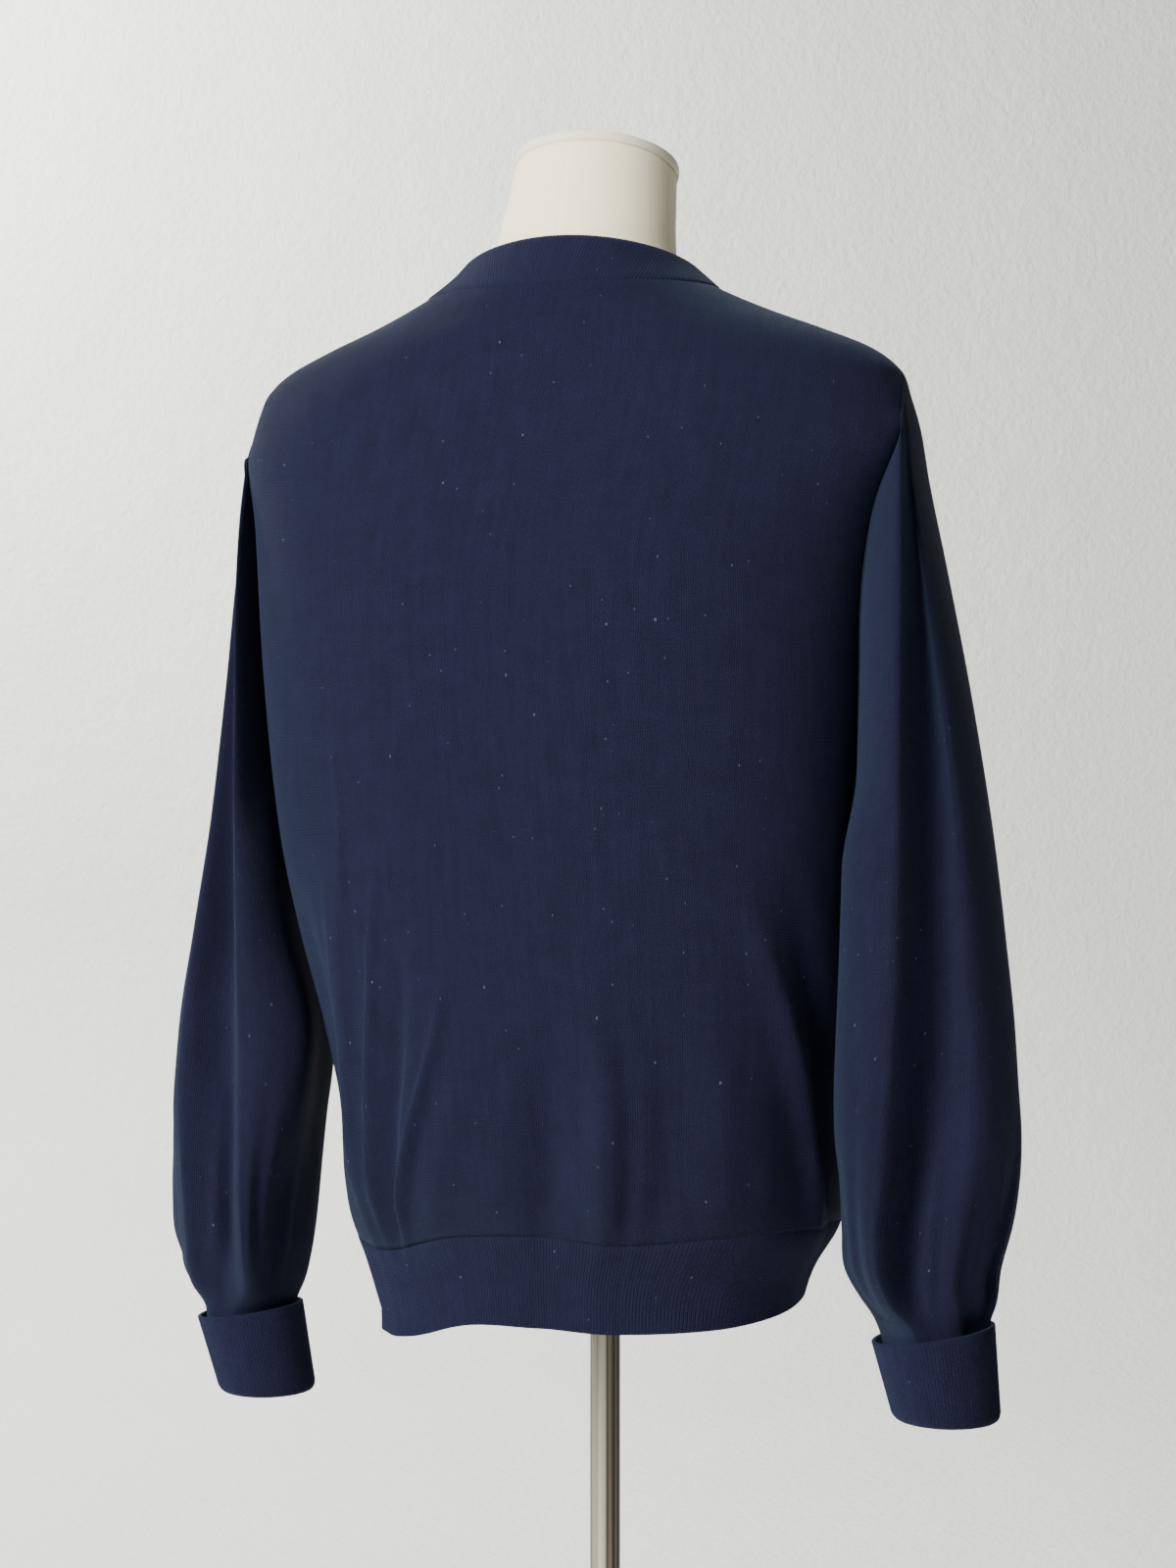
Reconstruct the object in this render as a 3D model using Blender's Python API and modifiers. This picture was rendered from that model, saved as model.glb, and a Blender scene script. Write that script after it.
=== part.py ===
"""A navy V-neck cardigan, buttoned on a limbless dress form that stands on a steel pole.

Metres, +Z up. The garment's front faces -Y and the wearer's left is +X. The origin is on the
floor, on the pole's axis. Each cloth piece is a wall whose outer face is worked out from
sections of the worn garment, and whose thickness goes inwards from that face.
"""

import math
from collections import namedtuple

import bmesh
import bpy
import numpy as np
from mathutils import Vector

# Driving sizes of the garment
WALL = 0.0022
SEAM_GAP = 0.0005
BAND_SEAM_GAP = 0.0004
NECK_SEAM_GAP = 0.0008
SLEEVE_SEAM_GAP = 0.0007
LAP_GAP = 0.0009
SEAM_REACH = 0.032
SLEEVE_CLEARANCE = 0.0012
SLEEVE_CLEARANCE_ROUND = 0.10
SLEEVE_CLEARANCE_FADE = (0.5, 0.9)
SLEEVE_ROUND = 0.36
BODY_MEAN_RADIUS = 0.155
UNDERARM_Z = 1.112
SHOULDER_POINT_Z = 1.388
NECK_SEAM_Z = 1.447
V_POINT_Z = 1.185
CUFF_WALL_GAP = 0.0008
CUFF_COVERS_SEAM = 0.014
CUFF_FOLD_TOP = 0.004
CUFF_FOLD_EASE = (0.0015, 0.0008)
CUFF_BETWEEN_FOOT = 0.0035
CUFF_ROWS = (0.35, 0.70)
BUTTON_COUNT = 6
BUTTON_RADIUS = 0.0095
BUTTON_THICKNESS = 0.0035
BUTTON_EASE = 0.0009
BUTTON_GAP = 0.0005
BUTTON_HEIGHTS = (0.850, 1.166)

# Heights, or distances, between which something comes in or fades out.
SHOULDER_FADE = 0.02
UNDERARM_FADE = 0.06
BODY_FOLDS_FADE = (1.05, 1.20)
SLEEVE_FOLDS_FADE = (0.980, 1.060)
UNDER_LAP_SIDEWAYS = (0.016, 0.045)
UNDER_LAP_ABOVE_V = (0.065, 0.12)
BAND_MEETS_NECK = (1.36, 1.447)
FORM_FOLLOWS_CLOTH = (1.28, 1.34)

# Driving sizes of the dress form and its stand
FORM_DROP = 0.0028
FORM_INSET = 0.0043
CAP_RADIUS = 0.0512
CAP_THICKNESS = 0.0065
CAP_EASE = 0.0016
POLE_RADIUS = 0.0095
POLE_EASE = 0.0008
SOCKET_DEPTH = 0.100
CONTACT_GAP = 0.0003
BASE_RADIUS = 0.170

# The cloth of the body from the hem seam to the neck. middle is the section's middle in X, half
# its half width, side_y the Y of its widest place, square its squareness (2 is an ellipse).
BodyRow = namedtuple("BodyRow", "z middle half back front side_y square")
BODY = (
    BodyRow(0.820, 0.0100, 0.1310, 0.095, -0.099, 0.006, 2.3),
    BodyRow(0.855, 0.0095, 0.1420, 0.101, -0.105, 0.008, 2.3),
    BodyRow(0.880, 0.0060, 0.1525, 0.112, -0.115, 0.010, 2.4),
    BodyRow(0.905, 0.0050, 0.1550, 0.122, -0.124, 0.012, 2.5),
    BodyRow(0.940, 0.0048, 0.1561, 0.128, -0.129, 0.014, 2.5),
    BodyRow(1.000, 0.0066, 0.1651, 0.129, -0.130, 0.020, 2.5),
    BodyRow(1.060, 0.0112, 0.1752, 0.129, -0.131, 0.026, 2.5),
    BodyRow(1.120, 0.0143, 0.1818, 0.130, -0.132, 0.032, 2.6),
    BodyRow(1.200, 0.0172, 0.1862, 0.133, -0.132, 0.036, 2.7),
    BodyRow(1.280, 0.0170, 0.1900, 0.134, -0.125, 0.042, 2.7),
    BodyRow(1.340, 0.0080, 0.2010, 0.130, -0.103, 0.046, 2.6),
    BodyRow(1.375, 0.0045, 0.2040, 0.124, -0.076, 0.047, 2.5),
    BodyRow(1.393, 0.0042, 0.2000, 0.119, -0.058, 0.047, 2.3),
    BodyRow(1.405, 0.0050, 0.1865, 0.116, -0.047, 0.047, 2.15),
    BodyRow(1.418, 0.0060, 0.1580, 0.112, -0.036, 0.047, 2.05),
    BodyRow(1.430, 0.0060, 0.1280, 0.107, -0.026, 0.046, 2.0),
    BodyRow(1.447, 0.0060, 0.0920, 0.100, -0.017, 0.044, 2.0),
    BodyRow(1.460, 0.0060, 0.0700, 0.092, -0.010, 0.042, 2.0),
)

# The dress form's own sections below the shoulders, in the same columns.
FORM = (
    BodyRow(0.868, 0.001, 0.088, 0.064, -0.064, 0.004, 2.1),
    BodyRow(0.884, 0.001, 0.114, 0.081, -0.082, 0.004, 2.1),
    BodyRow(0.930, 0.001, 0.131, 0.092, -0.094, 0.005, 2.1),
    BodyRow(1.010, 0.002, 0.130, 0.090, -0.096, 0.006, 2.1),
    BodyRow(1.090, 0.003, 0.143, 0.100, -0.103, 0.010, 2.2),
    BodyRow(1.180, 0.005, 0.158, 0.114, -0.114, 0.020, 2.3),
    BodyRow(1.260, 0.006, 0.170, 0.124, -0.117, 0.034, 2.4),
    BodyRow(1.320, 0.006, 0.182, 0.125, -0.104, 0.042, 2.5),
    BodyRow(1.360, 0.006, 0.200, 0.135, -0.100, 0.045, 2.5),
    BodyRow(1.390, 0.006, 0.230, 0.180, -0.120, 0.046, 2.5),
)

# The form's neck, whose sections lean forward and turn level with the cap.
NeckRow = namedtuple("NeckRow", "z x y half_x half_y tilt")
NECK = (
    NeckRow(1.4530, 0.0055, 0.0330, 0.0720, 0.0550, 0.0),
    NeckRow(1.4600, 0.0050, 0.0300, 0.0630, 0.0545, 0.0),
    NeckRow(1.4720, 0.0045, 0.0245, 0.0572, 0.0530, 2.0),
    NeckRow(1.4900, 0.0040, 0.0205, 0.0545, 0.0520, 5.0),
    NeckRow(1.5100, 0.0030, 0.0150, 0.0520, 0.0510, 8.0),
    NeckRow(1.5285, 0.0020, 0.0105, 0.0500, 0.0500, 11.0),
)

# A sleeve's sections, as distances from the garment's middle plane: its outer and inner faces,
# the ridge at its back, how far it reaches back and forward, and the step beside the ridge.
SleeveRow = namedtuple("SleeveRow", "z outer inner ridge back front step")
LEFT_SLEEVE = (
    SleeveRow(0.800, 0.2488, 0.1914, 0.2220, 0.0734, 0.0166, 0.000),
    SleeveRow(0.812, 0.2520, 0.1936, 0.2220, 0.0740, 0.0162, 0.000),
    SleeveRow(0.820, 0.2550, 0.1956, 0.2180, 0.0745, 0.0156, 0.001),
    SleeveRow(0.833, 0.2665, 0.1935, 0.2080, 0.0840, 0.0050, 0.006),
    SleeveRow(0.855, 0.2735, 0.1910, 0.2050, 0.0920, -0.0080, 0.010),
    SleeveRow(0.890, 0.2770, 0.1875, 0.2040, 0.0970, -0.0170, 0.012),
    SleeveRow(0.935, 0.2765, 0.1815, 0.2035, 0.0990, -0.0240, 0.013),
    SleeveRow(1.000, 0.2715, 0.1765, 0.2035, 0.0990, -0.0280, 0.016),
    SleeveRow(1.060, 0.2600, 0.1895, 0.2060, 0.0975, -0.0300, 0.018),
    SleeveRow(1.120, 0.2480, 0.1975, 0.2080, 0.0960, -0.0300, 0.014),
    SleeveRow(1.200, 0.2355, 0.2035, 0.2090, 0.0940, -0.0280, 0.010),
    SleeveRow(1.280, 0.2245, 0.2050, 0.2095, 0.0900, -0.0180, 0.006),
    SleeveRow(1.330, 0.2180, 0.2045, 0.2080, 0.0840, -0.0050, 0.003),
    SleeveRow(1.360, 0.2150, 0.2050, 0.2080, 0.0740, 0.0150, 0.001),
    SleeveRow(1.390, 0.2060, 0.2030, 0.2045, 0.0560, 0.0400, 0.000),
)
RIGHT_SLEEVE = (
    SleeveRow(0.812, 0.2484, 0.1900, 0.2150, 0.0744, 0.0158, 0.000),
    SleeveRow(0.828, 0.2478, 0.1868, 0.2150, 0.0750, 0.0152, 0.000),
    SleeveRow(0.838, 0.2468, 0.1830, 0.2100, 0.0756, 0.0146, 0.001),
    SleeveRow(0.850, 0.2500, 0.1740, 0.2000, 0.0840, 0.0040, 0.006),
    SleeveRow(0.866, 0.2515, 0.1655, 0.1940, 0.0920, -0.0100, 0.010),
    SleeveRow(0.890, 0.2575, 0.1640, 0.1920, 0.0980, -0.0180, 0.013),
    SleeveRow(0.935, 0.2640, 0.1640, 0.1960, 0.1010, -0.0250, 0.016),
    SleeveRow(1.000, 0.2620, 0.1655, 0.2020, 0.1010, -0.0300, 0.017),
    SleeveRow(1.060, 0.2555, 0.1675, 0.2045, 0.1000, -0.0320, 0.016),
    SleeveRow(1.120, 0.2480, 0.1690, 0.2055, 0.0980, -0.0320, 0.016),
    SleeveRow(1.200, 0.2350, 0.1710, 0.2060, 0.0960, -0.0300, 0.015),
    SleeveRow(1.280, 0.2200, 0.1735, 0.2065, 0.0930, -0.0200, 0.011),
    SleeveRow(1.330, 0.2105, 0.1800, 0.2055, 0.0870, -0.0050, 0.006),
    SleeveRow(1.360, 0.2065, 0.1920, 0.2035, 0.0760, 0.0150, 0.002),
    SleeveRow(1.390, 0.1990, 0.1945, 0.1975, 0.0560, 0.0400, 0.000),
)

# Where the named places of a sleeve's section lie on its way round, which starts at the outer
# face and goes by the back ridge to the inner face.
OUTER, OUTER_BACK, VALLEY, RIDGE, INNER_BACK = 0.00, 0.12, 0.205, 0.27, 0.40
INNER, INNER_FRONT, FRONT_RIDGE, OUTER_FRONT = 0.52, 0.64, 0.76, 0.88
PLACES = (OUTER, OUTER_BACK, VALLEY, RIDGE, INNER_BACK, INNER, INNER_FRONT, FRONT_RIDGE, OUTER_FRONT)

# How far the section's bends between those places lie across it, and towards its back or front.
SleeveBends = namedtuple("SleeveBends", "outer_back valley inner_back inner_front outer_front")
BENDS_ACROSS = SleeveBends(0.78, 0.36, 0.22, 0.20, 0.25)
BENDS_DEEP = SleeveBends(0.58, 0.12, 0.55, 0.60, 0.66)

# The armhole seam: its height at places round the sleeve, down the back and then up the front.
ARMHOLE_BACK = ((0.00, SHOULDER_POINT_Z), (0.12, 1.380), (0.205, 1.366), (0.27, 1.350),
                (0.34, 1.325), (0.40, 1.285), (0.46, 1.205), (INNER, UNDERARM_Z))
ARMHOLE_FRONT = ((1.00, SHOULDER_POINT_Z), (0.88, 1.376), (0.76, 1.345), (0.70, 1.325),
                 (0.64, 1.280), (0.58, 1.200), (INNER, UNDERARM_Z))

# The heights that the body's walls and the sleeves' armhole edges share.
ARMHOLE_ROWS = (UNDERARM_Z, 1.150, 1.200, 1.245, 1.285, 1.310, 1.330, 1.345, 1.357, 1.367,
                1.376, 1.383, SHOULDER_POINT_Z)
SHOULDER_ROWS = (1.394, 1.402, 1.411, 1.421, 1.433, NECK_SEAM_Z)
LOWER_ROWS = (0.0, 0.015, 0.06, 0.12, 0.20, 0.32, 0.46, 0.62, 0.80)

# The largest folds of the body: where they are round the section at their top and foot, as
# angles from the wearer's left through the back, their heights, half width and height.
Fold = namedtuple("Fold", "top_angle foot_angle top_z foot_z width height")
BODY_FOLDS = (
    Fold(33, 33, 1.170, 0.880, 0.011, 0.0045),
    Fold(21, 22, 1.120, 0.930, 0.016, -0.0080),
    Fold(43, 41, 1.060, 0.880, 0.009, 0.0045),
    Fold(55, 47, 1.000, 0.870, 0.010, 0.0050),
    Fold(49, 44, 0.960, 0.870, 0.007, -0.0040),
    Fold(100, 95, 1.020, 0.880, 0.024, -0.0050),
    Fold(118, 113, 1.060, 0.880, 0.022, 0.0045),
    Fold(150, 141, 1.040, 0.870, 0.020, -0.0060),
    Fold(160, 154, 1.120, 0.880, 0.014, 0.0050),
    Fold(205, 212, 1.060, 0.880, 0.016, -0.0060),
    Fold(222, 230, 1.050, 0.880, 0.014, 0.0050),
    Fold(246, 250, 0.980, 0.880, 0.012, -0.0040),
    Fold(292, 290, 0.980, 0.880, 0.012, -0.0040),
    Fold(316, 310, 1.060, 0.880, 0.015, 0.0050),
    Fold(334, 326, 1.060, 0.880, 0.016, -0.0060),
)

# A fold grows to its full height over FOLD_GROWS of its way down, and loses FOLD_EASE of that
# height over the last FOLD_EASES of it.
FOLD_GROWS = (0, 0.55)
FOLD_EASES = (0.8, 1.0)
FOLD_EASE = 0.75

# A sleeve's folds above its cuff, as places round the section.
SLEEVE_FOLDS = (
    Fold(0.215, 0.215, 1.050, 0.815, 0.030, -0.0060),
    Fold(0.150, 0.145, 0.990, 0.815, 0.026, 0.0060),
    Fold(0.080, 0.085, 0.960, 0.815, 0.024, -0.0060),
    Fold(0.950, 0.945, 0.980, 0.815, 0.028, 0.0050),
    Fold(0.870, 0.870, 0.960, 0.815, 0.026, -0.0050),
    Fold(0.780, 0.780, 1.000, 0.815, 0.026, 0.0055),
    Fold(0.680, 0.685, 0.960, 0.815, 0.026, -0.0050),
    Fold(0.590, 0.590, 0.950, 0.815, 0.026, 0.0045),
    Fold(0.400, 0.400, 0.980, 0.815, 0.028, -0.0050),
)

# The hem seam's height round the body, by the angle from the wearer's left through the back.
HEM_SEAM = ((0, 0.868), (35, 0.866), (60, 0.880), (90, 0.885), (120, 0.882), (150, 0.888),
            (180, 0.885), (230, 0.878), (270, 0.876), (310, 0.876), (360, 0.868))

# The height of the hem band's foot, in the same way.
HEM_FOOT = ((0, 0.8065), (35, 0.813), (60, 0.826), (90, 0.828), (120, 0.827), (150, 0.829),
            (180, 0.834), (230, 0.838), (270, 0.830), (310, 0.818), (360, 0.8065))

# The cuffs: the middle and half widths of their rings at the fold below and the edge above.
CuffRow = namedtuple("CuffRow", "x y half_x half_y")
Cuff = namedtuple("Cuff", "foot head foot_z head_z tilt")
LEFT_CUFF = Cuff(CuffRow(0.2110, 0.045, 0.0300, 0.0300), CuffRow(0.2236, 0.045, 0.0330, 0.0330),
                 0.7665, 0.817, -0.15)
RIGHT_CUFF = Cuff(CuffRow(-0.2250, 0.045, 0.0310, 0.0310), CuffRow(-0.2169, 0.045, 0.0355, 0.0345),
                  0.7825, 0.832, -0.17)

# The front band's seam on the wearer's left, from the middle of the body: X and Z.
V_SEAM = ((0.0150, V_POINT_Z), (0.0330, 1.240), (0.0520, 1.300), (0.0690, 1.355),
          (0.0820, 1.405), (0.0885, NECK_SEAM_Z))

# How far the band's free edge lies across from its seam, and up from it, by the seam's height.
BandRow = namedtuple("BandRow", "z across up")
BAND = (
    BandRow(0.800, 0.0298, 0.0000),
    BandRow(1.165, 0.0298, 0.0000),
    BandRow(1.205, 0.0288, 0.0085),
    BandRow(1.360, 0.0285, 0.0092),
    BandRow(1.410, 0.0240, 0.0130),
    BandRow(NECK_SEAM_Z, 0.0180, 0.0165),
)

# The free edge round the neck: its middle, its reach to the side, back and front, and its heights.
NeckEdge = namedtuple("NeckEdge", "x y side back front side_z back_z")
NECK_EDGE = NeckEdge(0.006, 0.033, 0.0745, 0.0475, 0.050, 1.4630, 1.4770)
NECK_LIFT_POWER = 1.5

# The base's turned outline, from the boss's top outwards and down: radius and height.
BASE_PROFILE = ((0.0, 0.0200), (0.018, 0.0200), (0.0215, 0.0180), (0.024, 0.0145),
                (0.030, 0.0125), (0.155, 0.0095), (0.1675, 0.0080), (BASE_RADIUS, 0.0050),
                (BASE_RADIUS, 0.0010), (0.1690, 0.0), (0.0, 0.0))

NAVY = (0.016, 0.022, 0.058, 1)
CREAM = (0.74, 0.70, 0.60, 1)
STEEL = (0.62, 0.60, 0.56, 1)
HORN = (0.012, 0.012, 0.020, 1)


def smooth(xs, ys, x):
    """A cubic curve through the points (xs, ys), at x, level past its ends."""
    xs, ys = np.asarray(xs, float), np.asarray(ys, float)
    slope = np.gradient(ys, xs)
    x = np.clip(x, xs[0], xs[-1])
    i = np.clip(np.searchsorted(xs, x) - 1, 0, len(xs) - 2)
    step = xs[i + 1] - xs[i]
    t = (x - xs[i]) / step
    return (ys[i] * (1 + 2 * t) * (1 - t) ** 2 + slope[i] * step * t * (1 - t) ** 2
            + ys[i + 1] * t * t * (3 - 2 * t) - slope[i + 1] * step * t * t * (1 - t))


def column(table, name, z):
    return smooth([row.z for row in table], [getattr(row, name) for row in table], z)


def rise(low, high, x):
    """0 up to low and 1 from high, with a smooth rise between."""
    t = np.clip((x - low) / (high - low), 0, 1)
    return t * t * (3 - 2 * t)


def fold_height(folds, place, z, scale):
    """The sum of the folds' heights at a place round a section; scale turns places to metres."""
    total = np.zeros(np.broadcast(place, z).shape)
    for fold in folds:
        down = np.clip((fold.top_z - z) / (fold.top_z - fold.foot_z), 0, 1)
        middle = fold.top_angle + (fold.foot_angle - fold.top_angle) * down
        height = fold.height * rise(*FOLD_GROWS, down) * (1 - FOLD_EASE * rise(*FOLD_EASES, down))
        total = total + height * np.exp(-((place - middle) * scale / fold.width) ** 2)
    return total


def radius(table, angle, z):
    """The distance from a section's middle to the cloth, for an angle in radians."""
    half, side_y = column(table, "half", z), column(table, "side_y", z)
    square = column(table, "square", z)
    depth = np.where(np.sin(angle) > 0, column(table, "back", z) - side_y,
                     side_y - column(table, "front", z))
    return ((np.abs(np.cos(angle)) / half) ** square
            + (np.abs(np.sin(angle)) / depth) ** square) ** (-1 / square)


def sleeve_point(table, side, place, z):
    """A point of a sleeve's section at height z; side is 1 for the wearer's left."""
    outer, inner = column(table, "outer", z), column(table, "inner", z)
    ridge, back = column(table, "ridge", z), column(table, "back", z)
    front, step = column(table, "front", z), column(table, "step", z)
    middle_x, middle_y = (outer + inner) / 2, (back + front) / 2
    half_y = (back - front) / 2
    across, deep = BENDS_ACROSS, BENDS_DEEP
    xs = (outer, ridge + across.outer_back * (outer - ridge),
          ridge + across.valley * (outer - ridge), ridge, inner + across.inner_back * (ridge - inner),
          inner, inner + across.inner_front * (middle_x - inner), middle_x,
          outer - across.outer_front * (outer - middle_x))
    ys = (middle_y, middle_y + deep.outer_back * half_y, back - deep.valley * half_y - step, back,
          middle_y + deep.inner_back * half_y, middle_y, middle_y - deep.inner_front * half_y,
          front, middle_y - deep.outer_front * half_y)
    knots = np.array([PLACES[-2] - 1, PLACES[-1] - 1, *PLACES, 1 + PLACES[0], 1 + PLACES[1]])
    points = []
    shape = np.broadcast(place, z).shape
    place = np.broadcast_to(place % 1.0, shape)
    i = np.clip(np.searchsorted(knots, place, side="right") - 1, 1, len(knots) - 3)
    gap = knots[i + 1] - knots[i]
    t = (place - knots[i]) / gap
    for values in (xs, ys):
        ring = np.stack([np.broadcast_to(v, shape) for v in
                         (*values[-2:], *values, *values[:2])])
        at = [np.take_along_axis(ring, (i + k)[None], 0)[0] for k in (-1, 0, 1, 2)]
        start = (at[2] - at[0]) / (knots[i + 1] - knots[i - 1])
        end = (at[3] - at[1]) / (knots[i + 2] - knots[i])
        points.append(at[1] * (1 + 2 * t) * (1 - t) ** 2 + start * gap * t * (1 - t) ** 2
                      + at[2] * t * t * (3 - 2 * t) - end * gap * t * t * (1 - t))
    x, y = points
    push = fold_height(SLEEVE_FOLDS, place, z, SLEEVE_ROUND) * (1 - rise(*SLEEVE_FOLDS_FADE, z))
    away = np.hypot(x - middle_x, y - middle_y)
    x = x + push * (x - middle_x) / away
    y = y + push * (y - middle_y) / away
    return side * x, y


class Armhole:
    """The seam between the body and one sleeve, as the body's own angles and radii."""

    def __init__(self, table, side):
        self.table, self.side = table, side
        self.edges = {}
        for half, knots in (("back", ARMHOLE_BACK), ("front", ARMHOLE_FRONT)):
            order = sorted(knots, key=lambda knot: knot[1])
            heights, places = [k[1] for k in order], [k[0] for k in order]
            z = np.linspace(UNDERARM_Z, SHOULDER_POINT_Z, 200)
            place = smooth(heights, places, z)
            x, y = sleeve_point(table, side, place, z)
            x = x - column(BODY, "middle", z)
            y = y - column(BODY, "side_y", z)
            angle = np.arctan2(y, side * x)
            self.edges[half] = (z, angle, np.hypot(x, y), heights, places)

    def angle(self, half, z):
        """The seam's angle from the side, at a height anywhere on the body."""
        heights, angles = self.edges[half][:2]
        inside = np.interp(z, heights, angles)
        return inside * (1 - rise(SHOULDER_POINT_Z, SHOULDER_POINT_Z + SHOULDER_FADE, z))

    def extra(self, half, z):
        """How far the seam lies outside the body's plain section."""
        heights, angles, radii = self.edges[half][:3]
        at = np.clip(z, UNDERARM_Z, SHOULDER_POINT_Z)
        angle, reach = np.interp(at, heights, angles), np.interp(at, heights, radii)
        plain = radius(BODY, angle if self.side > 0 else math.pi - angle, at)
        below = rise(UNDERARM_Z - UNDERARM_FADE, UNDERARM_Z, z)
        above = 1 - rise(SHOULDER_POINT_Z, SHOULDER_POINT_Z + SHOULDER_FADE, z)
        return (reach - plain) * below * above

    def places(self, half, z):
        """The places round the sleeve whose columns start at heights z."""
        return smooth(self.edges[half][3], self.edges[half][4], z)


LEFT_ARMHOLE = Armhole(LEFT_SLEEVE, 1)
RIGHT_ARMHOLE = Armhole(RIGHT_SLEEVE, -1)


def body_point(angle, z):
    """A point of the body's cloth, for an angle from the wearer's left through the back."""
    angle, z = np.broadcast_arrays(np.asarray(angle, float), np.asarray(z, float))
    reach = radius(BODY, angle, z)
    turned = np.degrees(angle) % 360
    push = fold_height(BODY_FOLDS, turned, z, math.radians(1) * BODY_MEAN_RADIUS)
    out = reach + push * (1 - rise(*BODY_FOLDS_FADE, z))
    for armhole in (LEFT_ARMHOLE, RIGHT_ARMHOLE):
        for half in ("back", "front"):
            seam = armhole.angle(half, z)
            seam = seam if armhole.side > 0 else math.pi - seam
            turn = (angle - seam + math.pi) % (2 * math.pi) - math.pi
            own = (np.sin(angle) >= 0) == (half == "back")
            near = np.exp(-(turn * reach / SEAM_REACH) ** 2)
            out = out + np.where(own, armhole.extra(half, z) * near, 0)
    x = column(BODY, "middle", z) + out * np.cos(angle)
    y = column(BODY, "side_y", z) + out * np.sin(angle)
    return x, y


HALVINGS = 40


def front_angle(x, z):
    """The body's angle at which its front lies at X, found by halving."""
    low = np.full(np.broadcast(x, z).shape, math.pi + 0.02)
    high = np.full(low.shape, 2 * math.pi - 0.02)
    for _ in range(HALVINGS):
        middle = (low + high) / 2
        left_of = body_point(middle, z)[0] < x
        low, high = np.where(left_of, middle, low), np.where(left_of, high, middle)
    return (low + high) / 2


def hem_seam_z(angle):
    degrees, heights = zip(*HEM_SEAM)
    return smooth(degrees, heights, np.degrees(angle) % 360)


def body_heights(angle):
    """The heights of the body's rows over one angle, from the hem seam to the neck seam."""
    foot = hem_seam_z(angle)[..., None] + SEAM_GAP
    lower = foot + (UNDERARM_Z - foot) * np.array(LOWER_ROWS)
    upper_rows = np.array(ARMHOLE_ROWS + SHOULDER_ROWS)
    upper = np.broadcast_to(upper_rows, (*foot.shape[:-1], len(upper_rows)))
    return np.concatenate([lower, upper], axis=-1)


def front_middle(z):
    """The X of the garment's middle line down its front."""
    return column(BODY, "middle", z)


def seam_x(z):
    """The front band's seam, as a distance from the garment's middle line."""
    xs, heights = zip(*V_SEAM)
    return np.where(z < V_POINT_Z, xs[0], smooth(heights, xs, z))


def under_lap(x, z):
    """How far the wearer's right side is tucked in, to pass under the left band."""
    aside = rise(*UNDER_LAP_SIDEWAYS, np.abs(x - front_middle(z)))
    above = rise(*UNDER_LAP_ABOVE_V, z - V_POINT_Z)
    return (1 - aside) * (1 - above) * (WALL + LAP_GAP)


def material(name, colour, roughness, metallic=0.0):
    made = bpy.data.materials.new(name)
    made.use_nodes = True
    shader = made.node_tree.nodes["Principled BSDF"]
    shader.inputs["Base Color"].default_value = colour
    shader.inputs["Roughness"].default_value = roughness
    shader.inputs["Metallic"].default_value = metallic
    made.diffuse_color = colour
    return made


def add(name, mesh, finish):
    thing = bpy.data.objects.new(name, mesh)
    thing.data.materials.append(finish)
    PARTS.objects.link(thing)
    return thing


def grid_mesh(name, points, join=False, flip=False):
    """A grid primitive moved onto points, an array of columns by rows by three."""
    columns, rows = points.shape[:2]
    grid = bmesh.new()
    bmesh.ops.create_grid(grid, x_segments=columns - 1, y_segments=rows - 1, size=0.5)
    for vertex in grid.verts:
        i = round((vertex.co.x + 0.5) * (columns - 1))
        j = round((vertex.co.y + 0.5) * (rows - 1))
        vertex.co = points[i, j]
    if join:
        bmesh.ops.remove_doubles(grid, verts=grid.verts, dist=1e-6)
    if flip:
        bmesh.ops.reverse_faces(grid, faces=grid.faces)
    mesh = bpy.data.meshes.new(name)
    grid.to_mesh(mesh)
    grid.free()
    mesh.shade_smooth()
    return mesh


def cloth(name, points, finish, join=False, flip=False):
    """A wall of cloth whose outer face is the grid of points."""
    piece = add(name, grid_mesh(name, points, join, flip), finish)
    solidify = piece.modifiers.new("wall", "SOLIDIFY")
    solidify.thickness = WALL
    solidify.offset = -1
    solidify.use_quality_normals = True
    return piece


def stack(x, y, z):
    return np.stack(np.broadcast_arrays(x, y, z), axis=-1)


def seam_angles(z):
    """The four seam angles of the body at heights z: left back, right back, left and right front."""
    return (LEFT_ARMHOLE.angle("back", z), math.pi - RIGHT_ARMHOLE.angle("back", z),
            2 * math.pi + LEFT_ARMHOLE.angle("front", z),
            math.pi - RIGHT_ARMHOLE.angle("front", z))


def panel_points(shares, start_of, end_of, guess):
    """Rows of body cloth between two edges, given as angles that depend on height."""
    columns = []
    for share, hint in zip(shares, guess):
        z = body_heights(np.array(hint))
        angle = start_of(z) + (end_of(z) - start_of(z)) * share
        x, y = body_point(angle, z)
        columns.append(stack(x, y, z))
    return np.array(columns)


def panel_shares(columns):
    """Even shares of a panel's width, with a narrow column at each edge for a true seam."""
    return np.concatenate([[0, 0.012], np.linspace(0, 1, columns + 1)[1:-1], [0.988, 1]])


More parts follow.
